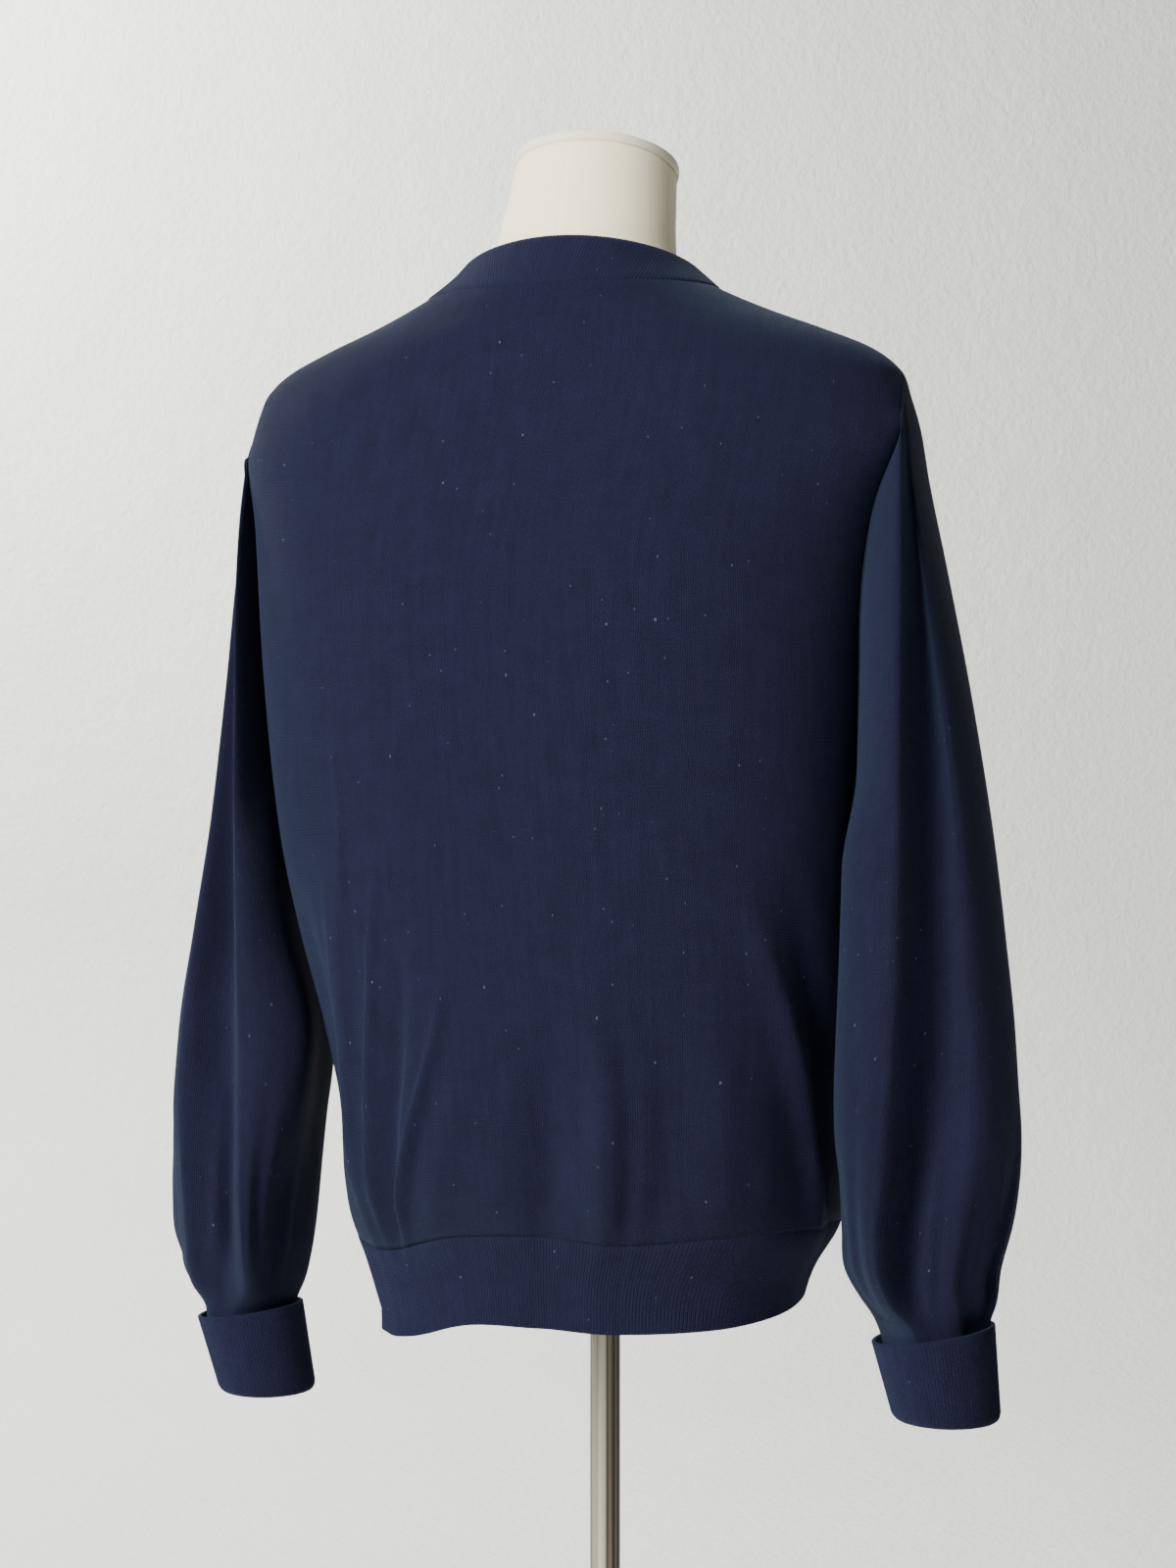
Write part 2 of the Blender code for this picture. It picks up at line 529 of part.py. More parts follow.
BACK_SHARES = panel_shares(22)
FRONT_SHARES = panel_shares(10)
BAND_SHARES = (0.0, 0.33, 0.67, 1.0)
BAND_ROWS = (dict(HEM_FOOT)[270], 0.845, 0.86, 0.873, 0.884, 0.896, 0.910, 0.93, 0.98, 1.03, 1.08,
             1.13, 1.165, V_POINT_Z, 1.205, 1.24, 1.28, 1.32, 1.355, 1.38, 1.405, 1.425, 1.438)
FORM_ROWS = (FORM[0].z, 0.874, 0.884, 0.905, 0.935, 0.98, 1.03, 1.09, 1.15, 1.21, 1.26, 1.30, 1.33,
             1.352, 1.368, 1.380, 1.390, 1.398, 1.406, 1.414, 1.422, 1.431, 1.439, 1.446)
SLEEVE_ROWS = (0, 0.02, 0.07, 0.13, 0.20, 0.28, 0.36, 0.44, 0.52, 0.60, 0.68, 0.75, 0.82, 0.88,
               0.93, 0.97, 1.0)


def edge_turn(z):
    """Half of a seam's gap, as an angle of the body."""
    return SEAM_GAP / 2 / column(BODY, "half", z)


def make_back(finish):
    def start(z):
        return seam_angles(z)[0] + edge_turn(z)

    def end(z):
        return seam_angles(z)[1] - edge_turn(z)

    points = panel_points(BACK_SHARES, start, end, BACK_SHARES * math.pi)
    return cloth("back", points, finish)


def make_front(name, side, finish):
    """One front, from its side seam to the seam of the front band."""
    def start(z):
        left, right = seam_angles(z)[2:]
        return left - edge_turn(z) if side > 0 else right + edge_turn(z)

    def end(z):
        return front_angle(front_middle(z) + side * (seam_x(z) + SEAM_GAP), z)

    foot = (2 * math.pi if side > 0 else math.pi)
    middle = 1.5 * math.pi
    points = panel_points(FRONT_SHARES, start, end, foot + (middle - foot) * FRONT_SHARES)
    if side < 0:
        points[..., 1] += under_lap(points[..., 0], points[..., 2])
    return cloth(name, points, finish, flip=side > 0)


def make_sleeve(name, table, armhole, cuff, finish):
    """A sleeve: every column starts on the armhole seam and ends inside the cuff."""
    z = np.array(ARMHOLE_ROWS)
    down_back = armhole.places("back", z[::-1])
    up_front = armhole.places("front", z)[1:]
    places = np.concatenate([down_back, up_front])
    starts = np.concatenate([z[::-1], z[1:]])
    end = np.full(len(places), cuff.head_z - CUFF_COVERS_SEAM)
    for _ in range(3):
        x = sleeve_point(table, armhole.side, places, end)[0]
        end = cuff_height(cuff, x, cuff.head_z - cuff.foot_z - CUFF_COVERS_SEAM)
    height = starts[:, None] + (end - starts)[:, None] * np.array(SLEEVE_ROWS)
    x, y = sleeve_point(table, armhole.side, places[:, None], height)
    points = stack(x, y, height)
    along = points[:, 1] - points[:, 0]
    points[:, 0] += SEAM_GAP * along / np.linalg.norm(along, axis=1)[:, None]
    beside_body = SLEEVE_CLEARANCE * np.exp(-((places[:, None] - INNER) / SLEEVE_CLEARANCE_ROUND) ** 2)
    beside_body = beside_body * (np.array(SLEEVE_ROWS) > 0) + SLEEVE_SEAM_GAP
    above_elbow = 1 - rise(*SLEEVE_CLEARANCE_FADE, np.array(SLEEVE_ROWS))
    points[..., 0] += armhole.side * beside_body * above_elbow
    points[-1] = points[0]
    return cloth(name, points, finish, join=True, flip=armhole.side > 0)


def cuff_height(cuff, x, up):
    """The height of a point of a cuff, up from its fold: the head is tilted across."""
    share = up / (cuff.head_z - cuff.foot_z)
    middle = cuff.foot.x + (cuff.head.x - cuff.foot.x) * share
    return cuff.foot_z + up + cuff.tilt * (x - middle) * share


def make_cuff(name, cuff, finish):
    """A ribbed cuff turned back on itself: an inner wall, a fold at its foot, an outer wall."""
    turn = np.linspace(0, 2 * math.pi, 27)[:, None]
    double = 2 * WALL + CUFF_WALL_GAP
    between = WALL + CUFF_WALL_GAP
    head = cuff.head_z - cuff.foot_z
    inner_head = head - CUFF_COVERS_SEAM - SEAM_GAP
    # The profile goes up the outer wall, over its edge, down to the fold and up the inner wall.
    low, high = (row * head for row in CUFF_ROWS)
    ease_in, ease_up = CUFF_FOLD_EASE
    profile = ((0.0, CUFF_FOLD_TOP), (0.0, low), (0.0, high), (0.0, head), (WALL, head),
               (WALL, high), (WALL, low), (WALL, CUFF_BETWEEN_FOOT),
               (between, CUFF_BETWEEN_FOOT), (between, low), (between, inner_head),
               (double, inner_head), (double, low), (double, CUFF_FOLD_TOP),
               (double - ease_in, ease_up), (double / 2, 0.0), (ease_in, ease_up))
    inset, up = np.array(profile).T[:, None, :]
    share = up / head
    half_x = cuff.foot.half_x + (cuff.head.half_x - cuff.foot.half_x) * share - inset
    half_y = cuff.foot.half_y + (cuff.head.half_y - cuff.foot.half_y) * share - inset
    x = cuff.foot.x + (cuff.head.x - cuff.foot.x) * share + half_x * np.cos(turn)
    y = cuff.foot.y + (cuff.head.y - cuff.foot.y) * share + half_y * np.sin(turn)
    points = stack(x, y, cuff_height(cuff, x, up))
    points = np.concatenate([points, points[:, :1]], axis=1)
    return add(name, grid_mesh(name, points, join=True), finish)


def make_hem_band(finish):
    """The ribbed hem, from the front band's seam on one side round the back to the other."""
    shares = np.linspace(0, 1, 73)
    degrees, heights = zip(*HEM_FOOT)
    columns = []
    for share in shares:
        angle = -math.pi / 2 + 2 * math.pi * share
        low = smooth(degrees, heights, math.degrees(angle) % 360)
        high = hem_seam_z(angle) - SEAM_GAP
        z = low + (high - low) * np.array((0.0, 0.33, 0.67, 0.95, 1.0))
        start = front_angle(front_middle(z) + seam_x(z) + SEAM_GAP, z) - 2 * math.pi
        end = front_angle(front_middle(z) - seam_x(z) - SEAM_GAP, z)
        x, y = body_point(start + (end - start) * share, z)
        tucked = under_lap(x, z) * (share > 0.5) * (y < 0)
        columns.append(stack(x, y + tucked, z))
    return cloth("hem_band", np.array(columns), finish)


def front_band_side(side):
    """The band up one front, as rows from the foot to the neck, each from seam to free edge."""
    top = front_angle(front_middle(NECK_SEAM_Z) + seam_x(NECK_SEAM_Z), NECK_SEAM_Z)
    lean = neck_edge_point(top)[1] - body_point(top, NECK_SEAM_Z)[1]
    across = np.array(BAND_SHARES)
    rows = []
    for height in BAND_ROWS:
        middle = front_middle(height)
        off = seam_x(height) - BAND_SEAM_GAP - column(BAND, "across", height) * across
        z = height + column(BAND, "up", height) * across
        x = middle + side * off
        y = body_point(front_angle(x, z), z)[1]
        seam_y = y[0] + lean * across
        y = y + (seam_y - y) * rise(*BAND_MEETS_NECK, height)
        if side < 0:
            y = y + under_lap(x, z)
        rows.append(stack(x, y, z))
    return rows, top


def neck_edge_point(angle):
    """The band's free edge round the neck."""
    reach = np.where(np.sin(angle) > 0, NECK_EDGE.back, NECK_EDGE.front)
    lift = np.clip(np.sin(angle), 0, 1) ** NECK_LIFT_POWER
    return (NECK_EDGE.x + NECK_EDGE.side * np.cos(angle), NECK_EDGE.y + reach * np.sin(angle),
            NECK_EDGE.side_z + (NECK_EDGE.back_z - NECK_EDGE.side_z) * lift)


def make_front_band(finish):
    """One long ribbed strip: up the left front, round the back of the neck, down the right."""
    left, top = front_band_side(1)
    right = front_band_side(-1)[0]
    across = np.array(BAND_SHARES)[:, None]
    rows = list(left)
    start = top - 2 * math.pi
    for angle in np.linspace(start, math.pi - start, 25):
        seam = stack(*body_point(angle, NECK_SEAM_Z), NECK_SEAM_Z + NECK_SEAM_GAP)
        rows.append(seam + (stack(*neck_edge_point(angle)) - seam) * across)
    rows += right[::-1]
    return cloth("front_band", np.array(rows), finish)


def make_form(finish):
    """The dress form: one smooth body with a neck, and a socket in its underside for the pole."""
    turn = np.linspace(0, 2 * math.pi, 37)
    socket = POLE_RADIUS + CONTACT_GAP
    foot = FORM[0].z
    circle = stack(socket * np.cos(turn), socket * np.sin(turn), 0.0)
    rings = [circle * 0 + (0, 0, foot + SOCKET_DEPTH), circle + (0, 0, foot + SOCKET_DEPTH),
             circle + (0, 0, foot)]
    for z in FORM_ROWS:
        follow = rise(*FORM_FOLLOWS_CLOTH, z)
        middle = column(FORM, "middle", z) * (1 - follow) + column(BODY, "middle", z) * follow
        side_y = column(FORM, "side_y", z) * (1 - follow) + column(BODY, "side_y", z) * follow
        own = radius(FORM, turn, np.full(len(turn), z))
        cloth_reach = radius(BODY, turn, np.full(len(turn), z + FORM_DROP)) - FORM_INSET
        reach = np.where(z > FORM_FOLLOWS_CLOTH[0], np.minimum(own, cloth_reach), own)
        rings.append(stack(middle + reach * np.cos(turn), side_y + reach * np.sin(turn), z))
    for row in NECK:
        y = row.half_y * np.sin(turn)
        z = row.z + y * math.tan(math.radians(row.tilt))
        rings.append(stack(row.x + row.half_x * np.cos(turn), row.y + y, z))
    rings.append(rings[-1] * 0 + (NECK[-1].x, NECK[-1].y, NECK[-1].z))
    points = np.array(rings).transpose(1, 0, 2)
    return add("dress_form", grid_mesh("dress_form", points, join=True), finish)


def make_neck_cap(finish):
    top = NECK[-1]
    tilt = math.radians(top.tilt)
    lift = CAP_THICKNESS / 2 + CONTACT_GAP
    middle = Vector((top.x, top.y - lift * math.sin(tilt), top.z + lift * math.cos(tilt)))
    bpy.ops.mesh.primitive_cylinder_add(vertices=36, radius=CAP_RADIUS, depth=CAP_THICKNESS,
                                        location=middle, rotation=(tilt, 0, 0))
    return finish_primitive("neck_cap", finish, bevel=CAP_EASE)


def make_pole(finish):
    foot = BASE_PROFILE[0][1] + CONTACT_GAP
    head = FORM[0].z + SOCKET_DEPTH - CONTACT_GAP
    bpy.ops.mesh.primitive_cylinder_add(vertices=32, radius=POLE_RADIUS, depth=head - foot,
                                        location=(0, 0, (head + foot) / 2))
    return finish_primitive("pole", finish, bevel=POLE_EASE)


def finish_primitive(name, finish, bevel):
    """Name a new primitive, give it its material and ease its edges."""
    thing = bpy.context.object
    thing.name = thing.data.name = name
    for collection in list(thing.users_collection):
        collection.objects.unlink(thing)
    PARTS.objects.link(thing)
    thing.data.materials.append(finish)
    thing.data.shade_smooth()
    thing.data.set_sharp_from_angle(angle=math.radians(40))
    ease = thing.modifiers.new("eased edges", "BEVEL")
    ease.width = bevel
    ease.segments = 1
    ease.limit_method = "ANGLE"
    ease.angle_limit = math.radians(40)
    return thing


def make_base(finish):
    """A turned plate that thickens to a boss under the pole."""
    profile = bmesh.new()
    corners = [profile.verts.new((r, 0, z)) for r, z in BASE_PROFILE]
    for first, second in zip(corners, corners[1:]):
        profile.edges.new((first, second))
    mesh = bpy.data.meshes.new("base")
    profile.to_mesh(mesh)
    profile.free()
    base = add("base", mesh, finish)
    turned = base.modifiers.new("turned", "SCREW")
    turned.steps = turned.render_steps = 48
    turned.use_merge_vertices = True
    turned.merge_threshold = 0.00005
    turned.use_smooth_shade = True
    return base


def make_button(number, z, finish):
    """One button on the left band, turned flat to the cloth under it."""
    x = front_middle(z)
    angle = front_angle(x, np.array(z))
    y = float(body_point(angle, z)[1])
    above, below = (float(body_point(front_angle(x, np.array(z + step)), z + step)[1])
                    for step in (BUTTON_RADIUS, -BUTTON_RADIUS))
    lean = math.atan2(above - below, 2 * BUTTON_RADIUS)
    hollow = max(0.0, y - (above + below) / 2)
    away = Vector((0, -math.cos(lean), math.sin(lean)))
    middle = Vector((float(x), y, z)) + away * (BUTTON_THICKNESS / 2 + BUTTON_GAP + hollow)
    bpy.ops.mesh.primitive_cylinder_add(vertices=20, radius=BUTTON_RADIUS, depth=BUTTON_THICKNESS,
                                        location=middle, rotation=(math.pi / 2 - lean, 0, 0))
    return finish_primitive(f"button_{number}", finish, bevel=BUTTON_EASE)


def clear():
    for thing in list(bpy.data.objects):
        bpy.data.objects.remove(thing)


clear()
PARTS = bpy.data.collections.new("cardigan")
bpy.context.scene.collection.children.link(PARTS)
KNIT = material("navy_knit", NAVY, 0.95)
LINEN = material("cream_linen", CREAM, 0.9)
METAL = material("polished_steel", STEEL, 0.25, 1.0)
BUTTON = material("dark_button", HORN, 0.35)

make_back(KNIT)
make_front("left_front", 1, KNIT)
make_front("right_front", -1, KNIT)
make_sleeve("left_sleeve", LEFT_SLEEVE, LEFT_ARMHOLE, LEFT_CUFF, KNIT)
make_sleeve("right_sleeve", RIGHT_SLEEVE, RIGHT_ARMHOLE, RIGHT_CUFF, KNIT)
make_cuff("left_cuff", LEFT_CUFF, KNIT)
make_cuff("right_cuff", RIGHT_CUFF, KNIT)
make_hem_band(KNIT)
make_front_band(KNIT)
make_form(LINEN)
make_neck_cap(LINEN)
make_pole(METAL)
make_base(METAL)
for number, height in enumerate(np.linspace(*BUTTON_HEIGHTS, BUTTON_COUNT), start=1):
    make_button(number, float(height), BUTTON)
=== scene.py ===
"""A navy V-neck cardigan, buttoned on a limbless dress form on a steel pole, seen from behind.

Metres, +Z up. The garment's front faces -Y and the wearer's left is +X. The sections run in the
order in which the object is put together, from the base upwards and then the garment.
"""

import math
from collections import namedtuple

import bmesh
import bpy
import numpy as np
from mathutils import Matrix, Vector


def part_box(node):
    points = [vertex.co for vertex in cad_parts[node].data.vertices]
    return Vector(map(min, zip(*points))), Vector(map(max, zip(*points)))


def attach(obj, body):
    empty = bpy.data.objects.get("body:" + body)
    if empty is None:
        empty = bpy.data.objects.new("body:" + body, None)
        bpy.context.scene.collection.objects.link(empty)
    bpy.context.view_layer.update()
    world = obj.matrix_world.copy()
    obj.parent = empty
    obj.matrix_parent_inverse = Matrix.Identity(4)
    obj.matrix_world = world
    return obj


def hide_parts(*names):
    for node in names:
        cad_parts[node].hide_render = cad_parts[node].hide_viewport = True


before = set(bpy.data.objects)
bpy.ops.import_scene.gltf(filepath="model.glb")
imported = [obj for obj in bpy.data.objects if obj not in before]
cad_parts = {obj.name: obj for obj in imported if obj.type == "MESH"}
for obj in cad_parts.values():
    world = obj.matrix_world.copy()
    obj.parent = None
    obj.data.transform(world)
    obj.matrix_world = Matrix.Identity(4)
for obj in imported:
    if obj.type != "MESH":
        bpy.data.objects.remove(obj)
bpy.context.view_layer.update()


# The base: a turned steel plate that thickens to a boss under the pole. It is spun to shape,
# brushed in rings and waxed, and stands flat on the floor.
class Socket:
    """A node's output, with operators that add Math nodes to its material."""

    def __init__(self, finish, output):
        self.finish, self.output = finish, output

    def __add__(self, other):
        return self.finish.sum("ADD", self, other)

    def __sub__(self, other):
        return self.finish.sum("SUBTRACT", self, other)

    def __mul__(self, other):
        return self.finish.sum("MULTIPLY", self, other)

    def __rsub__(self, other):
        return self.finish.sum("SUBTRACT", other, self)

    __radd__ = __add__
    __rmul__ = __mul__


class Finish:
    """A material with one Principled shader, whose constants are set on its own sockets."""

    def __init__(self, name, constants):
        self.material = bpy.data.materials.new(name)
        self.material.use_nodes = True
        self.tree = self.material.node_tree
        self.shader = self.tree.nodes["Principled BSDF"]
        for socket, value in constants.items():
            self.shader.inputs[socket].default_value = value

    def node(self, kind, settings, sockets, output=0):
        """Any node: its settings first, then the values or links of its sockets."""
        made = self.tree.nodes.new(kind)
        for name, value in settings.items():
            if name == "stops":
                ramp = made.color_ramp
                while len(ramp.elements) < len(value):
                    ramp.elements.new(1.0)
                for element, (position, colour) in zip(ramp.elements, value):
                    element.position, element.color = position, colour
            else:
                setattr(made, name, value)
        for name, value in sockets.items():
            self.feed(made.inputs[name], value)
        return Socket(self, made.outputs[output])

    def feed(self, socket, value):
        if isinstance(value, Socket):
            self.tree.links.new(value.output, socket)
        else:
            socket.default_value = value

    def sum(self, operation, *values):
        return self.node("ShaderNodeMath", {"operation": operation}, dict(enumerate(values)))

    def place(self):
        """The point of the piece, in metres, as a vector."""
        return self.node("ShaderNodeTexCoord", {}, {}, "Object")

    def split(self, vector, axis):
        return self.node("ShaderNodeSeparateXYZ", {}, {"Vector": vector}, axis)

    def stretch(self, vector, scale):
        return self.node("ShaderNodeMapping", {}, {"Vector": vector, "Scale": scale})

    def noise(self, vector, scale, detail=3.0, roughness=0.55):
        return self.node("ShaderNodeTexNoise", {}, {"Vector": vector, "Scale": scale,
                                                   "Detail": detail, "Roughness": roughness})

    def blend(self, factor, first, second):
        """A colour between two others."""
        return self.node("ShaderNodeMix", {"data_type": "RGBA"},
                         {0: factor, 6: first, 7: second}, 2)

    def ramp(self, factor, *stops):
        return self.node("ShaderNodeValToRGB", {"stops": stops}, {"Fac": factor})

    def bump(self, height, distance, strength=1.0):
        return self.node("ShaderNodeBump", {}, {"Height": height, "Distance": distance,
                                               "Strength": strength})

    def shade(self, **sockets):
        names = {"colour": "Base Color", "roughness": "Roughness", "normal": "Normal",
                 "metallic": "Metallic"}
        for name, value in sockets.items():
            self.feed(self.shader.inputs[names[name]], value)
        return self.material


def mesh_of(form, name):
    """The mesh that a bmesh has come to; the bmesh is let go."""
    mesh = bpy.data.meshes.new(name)
    form.to_mesh(mesh)
    form.free()
    return mesh


def placed(name, content):
    """An object of its own in the scene, at the origin and unturned."""
    thing = bpy.data.objects.new(name, content)
    bpy.context.scene.collection.objects.link(thing)
    return thing


def applied(piece):
    """The mesh of a piece with its modifiers applied, which are then taken off it."""
    bpy.context.view_layer.update()
    done = bpy.data.meshes.new_from_object(piece.evaluated_get(bpy.context.evaluated_depsgraph_get()))
    piece.modifiers.clear()
    return done


def new_object(name, mesh, material, slot, *nodes):
    """A finished piece: its material, its body and the solids it stands for; its slot is not used."""
    piece = placed(name, mesh)
    mesh.materials.append(material)
    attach(piece, "root")
    if nodes:
        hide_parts(*nodes)
    return piece


def turned(name, profile, material, slot, node, steps=128, place=Matrix()):
    """A closed profile of radius and height, spun about Z and then put in its place."""
    form = bmesh.new()
    corners = [form.verts.new((r, 0, z)) for r, z in profile]
    edges = [form.edges.new(pair) for pair in zip(corners, corners[1:])]
    bmesh.ops.spin(form, geom=corners + edges, axis=(0, 0, 1), cent=(0, 0, 0),
                   angle=2 * math.pi, steps=steps, use_merge=True)
    bmesh.ops.remove_doubles(form, verts=form.verts, dist=1e-6)
    bmesh.ops.recalc_face_normals(form, faces=form.faces)
    bmesh.ops.transform(form, matrix=place, verts=form.verts)
    mesh = mesh_of(form, name)
    mesh.shade_smooth()
    mesh.set_sharp_from_angle(angle=math.radians(35))
    return new_object(name, mesh, material, slot, node)


def arc(middle, radius, start, end, steps):
    """Points of an arc of a profile, from one angle to another in degrees."""
    turns = np.radians(np.linspace(start, end, steps))
    return [(middle[0] + radius * math.cos(t), middle[1] + radius * math.sin(t)) for t in turns]


BASE_RADIUS = 0.170
BASE_EDGE = 0.0045
BOSS_RADIUS = 0.024
BOSS_TOP = 0.0200

steel = Finish("brushed steel", {"Metallic": 1.0})
spot = steel.place()
rings = steel.node("ShaderNodeVectorMath", {"operation": "LENGTH"},
                   {0: steel.stretch(spot, (1, 1, 0))}, "Value")
brush = steel.noise(steel.stretch(steel.node("ShaderNodeCombineXYZ", {}, {"X": rings}),
                                  (1400, 1, 1)), 1.0, 2.0)
smudge = steel.noise(spot, 22.0, 4.0)
base_finish = steel.shade(
    colour=steel.blend(smudge, (0.50, 0.49, 0.46, 1), (0.66, 0.65, 0.62, 1)),
    roughness=brush * 0.10 + smudge * 0.14 + 0.17,
    normal=steel.bump(brush, 0.00004, 0.5))

base_outline = [(0.0, BOSS_TOP), *arc((BOSS_RADIUS - 0.006, BOSS_TOP - 0.006), 0.006, 90, 0, 7),
                *arc((BOSS_RADIUS + 0.004, 0.0165), 0.004, 180, 262, 6), (0.090, 0.0112),
                *arc((BASE_RADIUS - BASE_EDGE, 0.0045), BASE_EDGE, 80, 0, 8),
                (BASE_RADIUS, 0.0010), (BASE_RADIUS - 0.001, 0.0), (0.0, 0.0)]
turned("stand_base", base_outline, base_finish, "polished_steel", "base", steps=160)


# The pole: a drawn steel tube, polished along its length and plated. Its colour has dark upright
# bands of painted reflection. It stands in the base's boss and goes up into a socket in the form.
POLE_RADIUS = 0.0095
POLE_END_EASE = 0.0008

chrome = Finish("polished steel", {"Metallic": 1.0})
spot = chrome.place()
drawn = chrome.noise(chrome.stretch(spot, (900, 900, 2)), 1.0, 2.0)
# The band noise runs round the tube; the ramp turns it into near-black and pale upright stripes,
# painted reflection.
band = chrome.noise(chrome.stretch(spot, (170, 170, 1.2)), 1.0, 1.0)
spread = chrome.noise(chrome.stretch(spot, (30, 30, 8)), 1.0, 4.0)
pole_finish = chrome.shade(
    colour=chrome.ramp(band * 0.8 + drawn * 0.2, (0.42, (0.02, 0.017, 0.012, 1)),
                       (0.52, (0.10, 0.085, 0.065, 1)), (0.66, (0.46, 0.42, 0.35, 1))),
    roughness=drawn * 0.10 + spread * 0.08 + 0.08,
    normal=chrome.bump(drawn, 0.00002, 0.4))

low, high = (corner.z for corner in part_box("pole"))
tube_outline = [(0.0, low), (POLE_RADIUS - POLE_END_EASE, low), (POLE_RADIUS, low + POLE_END_EASE),
                *[(POLE_RADIUS, z) for z in np.linspace(low + 0.02, high - 0.02, 40)],
                (POLE_RADIUS, high - POLE_END_EASE), (POLE_RADIUS - POLE_END_EASE, high),
                (0.0, high)]
turned("stand_pole", tube_outline, pole_finish, "polished_steel", "pole", steps=96)


# The dress form: a limbless shell covered in cream linen, seamed down its front, back and sides.
# It carries the cardigan on its shoulders and has a socket for the pole in its underside.
def smooth(xs, ys, x):
    """A cubic curve through the points (xs, ys), at x, level past its ends."""
    xs, ys = np.asarray(xs, float), np.asarray(ys, float)
    slope = np.gradient(ys, xs)
    x = np.clip(x, xs[0], xs[-1])
    i = np.clip(np.searchsorted(xs, x) - 1, 0, len(xs) - 2)
    step = xs[i + 1] - xs[i]
    t = (x - xs[i]) / step
    return (ys[i] * (1 + 2 * t) * (1 - t) ** 2 + slope[i] * step * t * (1 - t) ** 2
            + ys[i + 1] * t * t * (3 - 2 * t) - slope[i + 1] * step * t * t * (1 - t))


def column(table, name, z):
    return smooth([row.z for row in table], [getattr(row, name) for row in table], z)


def rise(low, high, x):
    """0 up to low and 1 from high, with a smooth rise between."""
    t = np.clip((x - low) / (high - low), 0, 1)
    return t * t * (3 - 2 * t)


def radius(table, angle, z):
    """The distance from a section's middle to its outline, for an angle in radians."""
    half, side_y = column(table, "half", z), column(table, "side_y", z)
    square = column(table, "square", z)
    depth = np.where(np.sin(angle) > 0, column(table, "back", z) - side_y,
                     side_y - column(table, "front", z))
    return ((np.abs(np.cos(angle)) / half) ** square
            + (np.abs(np.sin(angle)) / depth) ** square) ** (-1 / square)


def stack(x, y, z):
    return np.stack(np.broadcast_arrays(x, y, z), axis=-1)


def refine(rows, count):
    """The same run of rows, with more of them, evenly between the given ones."""
    return np.interp(np.linspace(0, len(rows) - 1, count), np.arange(len(rows)), rows)


def grid_mesh(name, points, uv, join=False, flip=False):
    """A grid primitive moved onto points, with its UV map, both columns by rows."""
    columns, rows = points.shape[:2]
    grid = bmesh.new()
    bmesh.ops.create_grid(grid, x_segments=columns - 1, y_segments=rows - 1, size=0.5)
    mesh = mesh_of(grid, name)
    flat = np.empty(len(mesh.vertices) * 3)
    mesh.vertices.foreach_get("co", flat)
    flat = flat.reshape(-1, 3)
    i = np.rint((flat[:, 0] + 0.5) * (columns - 1)).astype(int)
    j = np.rint((flat[:, 1] + 0.5) * (rows - 1)).astype(int)
    corner = np.empty(len(mesh.loops), int)
    mesh.loops.foreach_get("vertex_index", corner)
    layer = mesh.uv_layers.new(name="stitches")
    layer.data.foreach_set("uv", uv[i, j][corner].ravel())
    mesh.vertices.foreach_set("co", points[i, j].ravel())
    form = bmesh.new()
    form.from_mesh(mesh)
    if join:
        bmesh.ops.remove_doubles(form, verts=form.verts, dist=1e-6)
    if flip:
        bmesh.ops.reverse_faces(form, faces=form.faces)
    form.to_mesh(mesh)
    form.free()
    mesh.shade_smooth()
    return mesh


BodyRow = namedtuple("BodyRow", "z middle half back front side_y square")
BODY = (
    BodyRow(0.820, 0.0100, 0.1310, 0.095, -0.099, 0.006, 2.3),
    BodyRow(0.855, 0.0095, 0.1420, 0.101, -0.105, 0.008, 2.3),
    BodyRow(0.880, 0.0060, 0.1525, 0.112, -0.115, 0.010, 2.4),
    BodyRow(0.905, 0.0050, 0.1550, 0.122, -0.124, 0.012, 2.5),
    BodyRow(0.940, 0.0048, 0.1561, 0.128, -0.129, 0.014, 2.5),
    BodyRow(1.000, 0.0066, 0.1651, 0.129, -0.130, 0.020, 2.5),
    BodyRow(1.060, 0.0112, 0.1752, 0.129, -0.131, 0.026, 2.5),
    BodyRow(1.120, 0.0143, 0.1818, 0.130, -0.132, 0.032, 2.6),
    BodyRow(1.200, 0.0172, 0.1862, 0.133, -0.132, 0.036, 2.7),
    BodyRow(1.280, 0.0170, 0.1900, 0.134, -0.125, 0.042, 2.7),
    BodyRow(1.340, 0.0080, 0.2010, 0.130, -0.103, 0.046, 2.6),
    BodyRow(1.375, 0.0045, 0.2040, 0.124, -0.076, 0.047, 2.5),
    BodyRow(1.393, 0.0042, 0.2000, 0.119, -0.058, 0.047, 2.3),
    BodyRow(1.405, 0.0050, 0.1865, 0.116, -0.047, 0.047, 2.15),
    BodyRow(1.418, 0.0060, 0.1580, 0.112, -0.036, 0.047, 2.05),
    BodyRow(1.430, 0.0060, 0.1280, 0.107, -0.026, 0.046, 2.0),
    BodyRow(1.447, 0.0060, 0.0920, 0.100, -0.017, 0.044, 2.0),
    BodyRow(1.460, 0.0060, 0.0700, 0.092, -0.010, 0.042, 2.0),
)
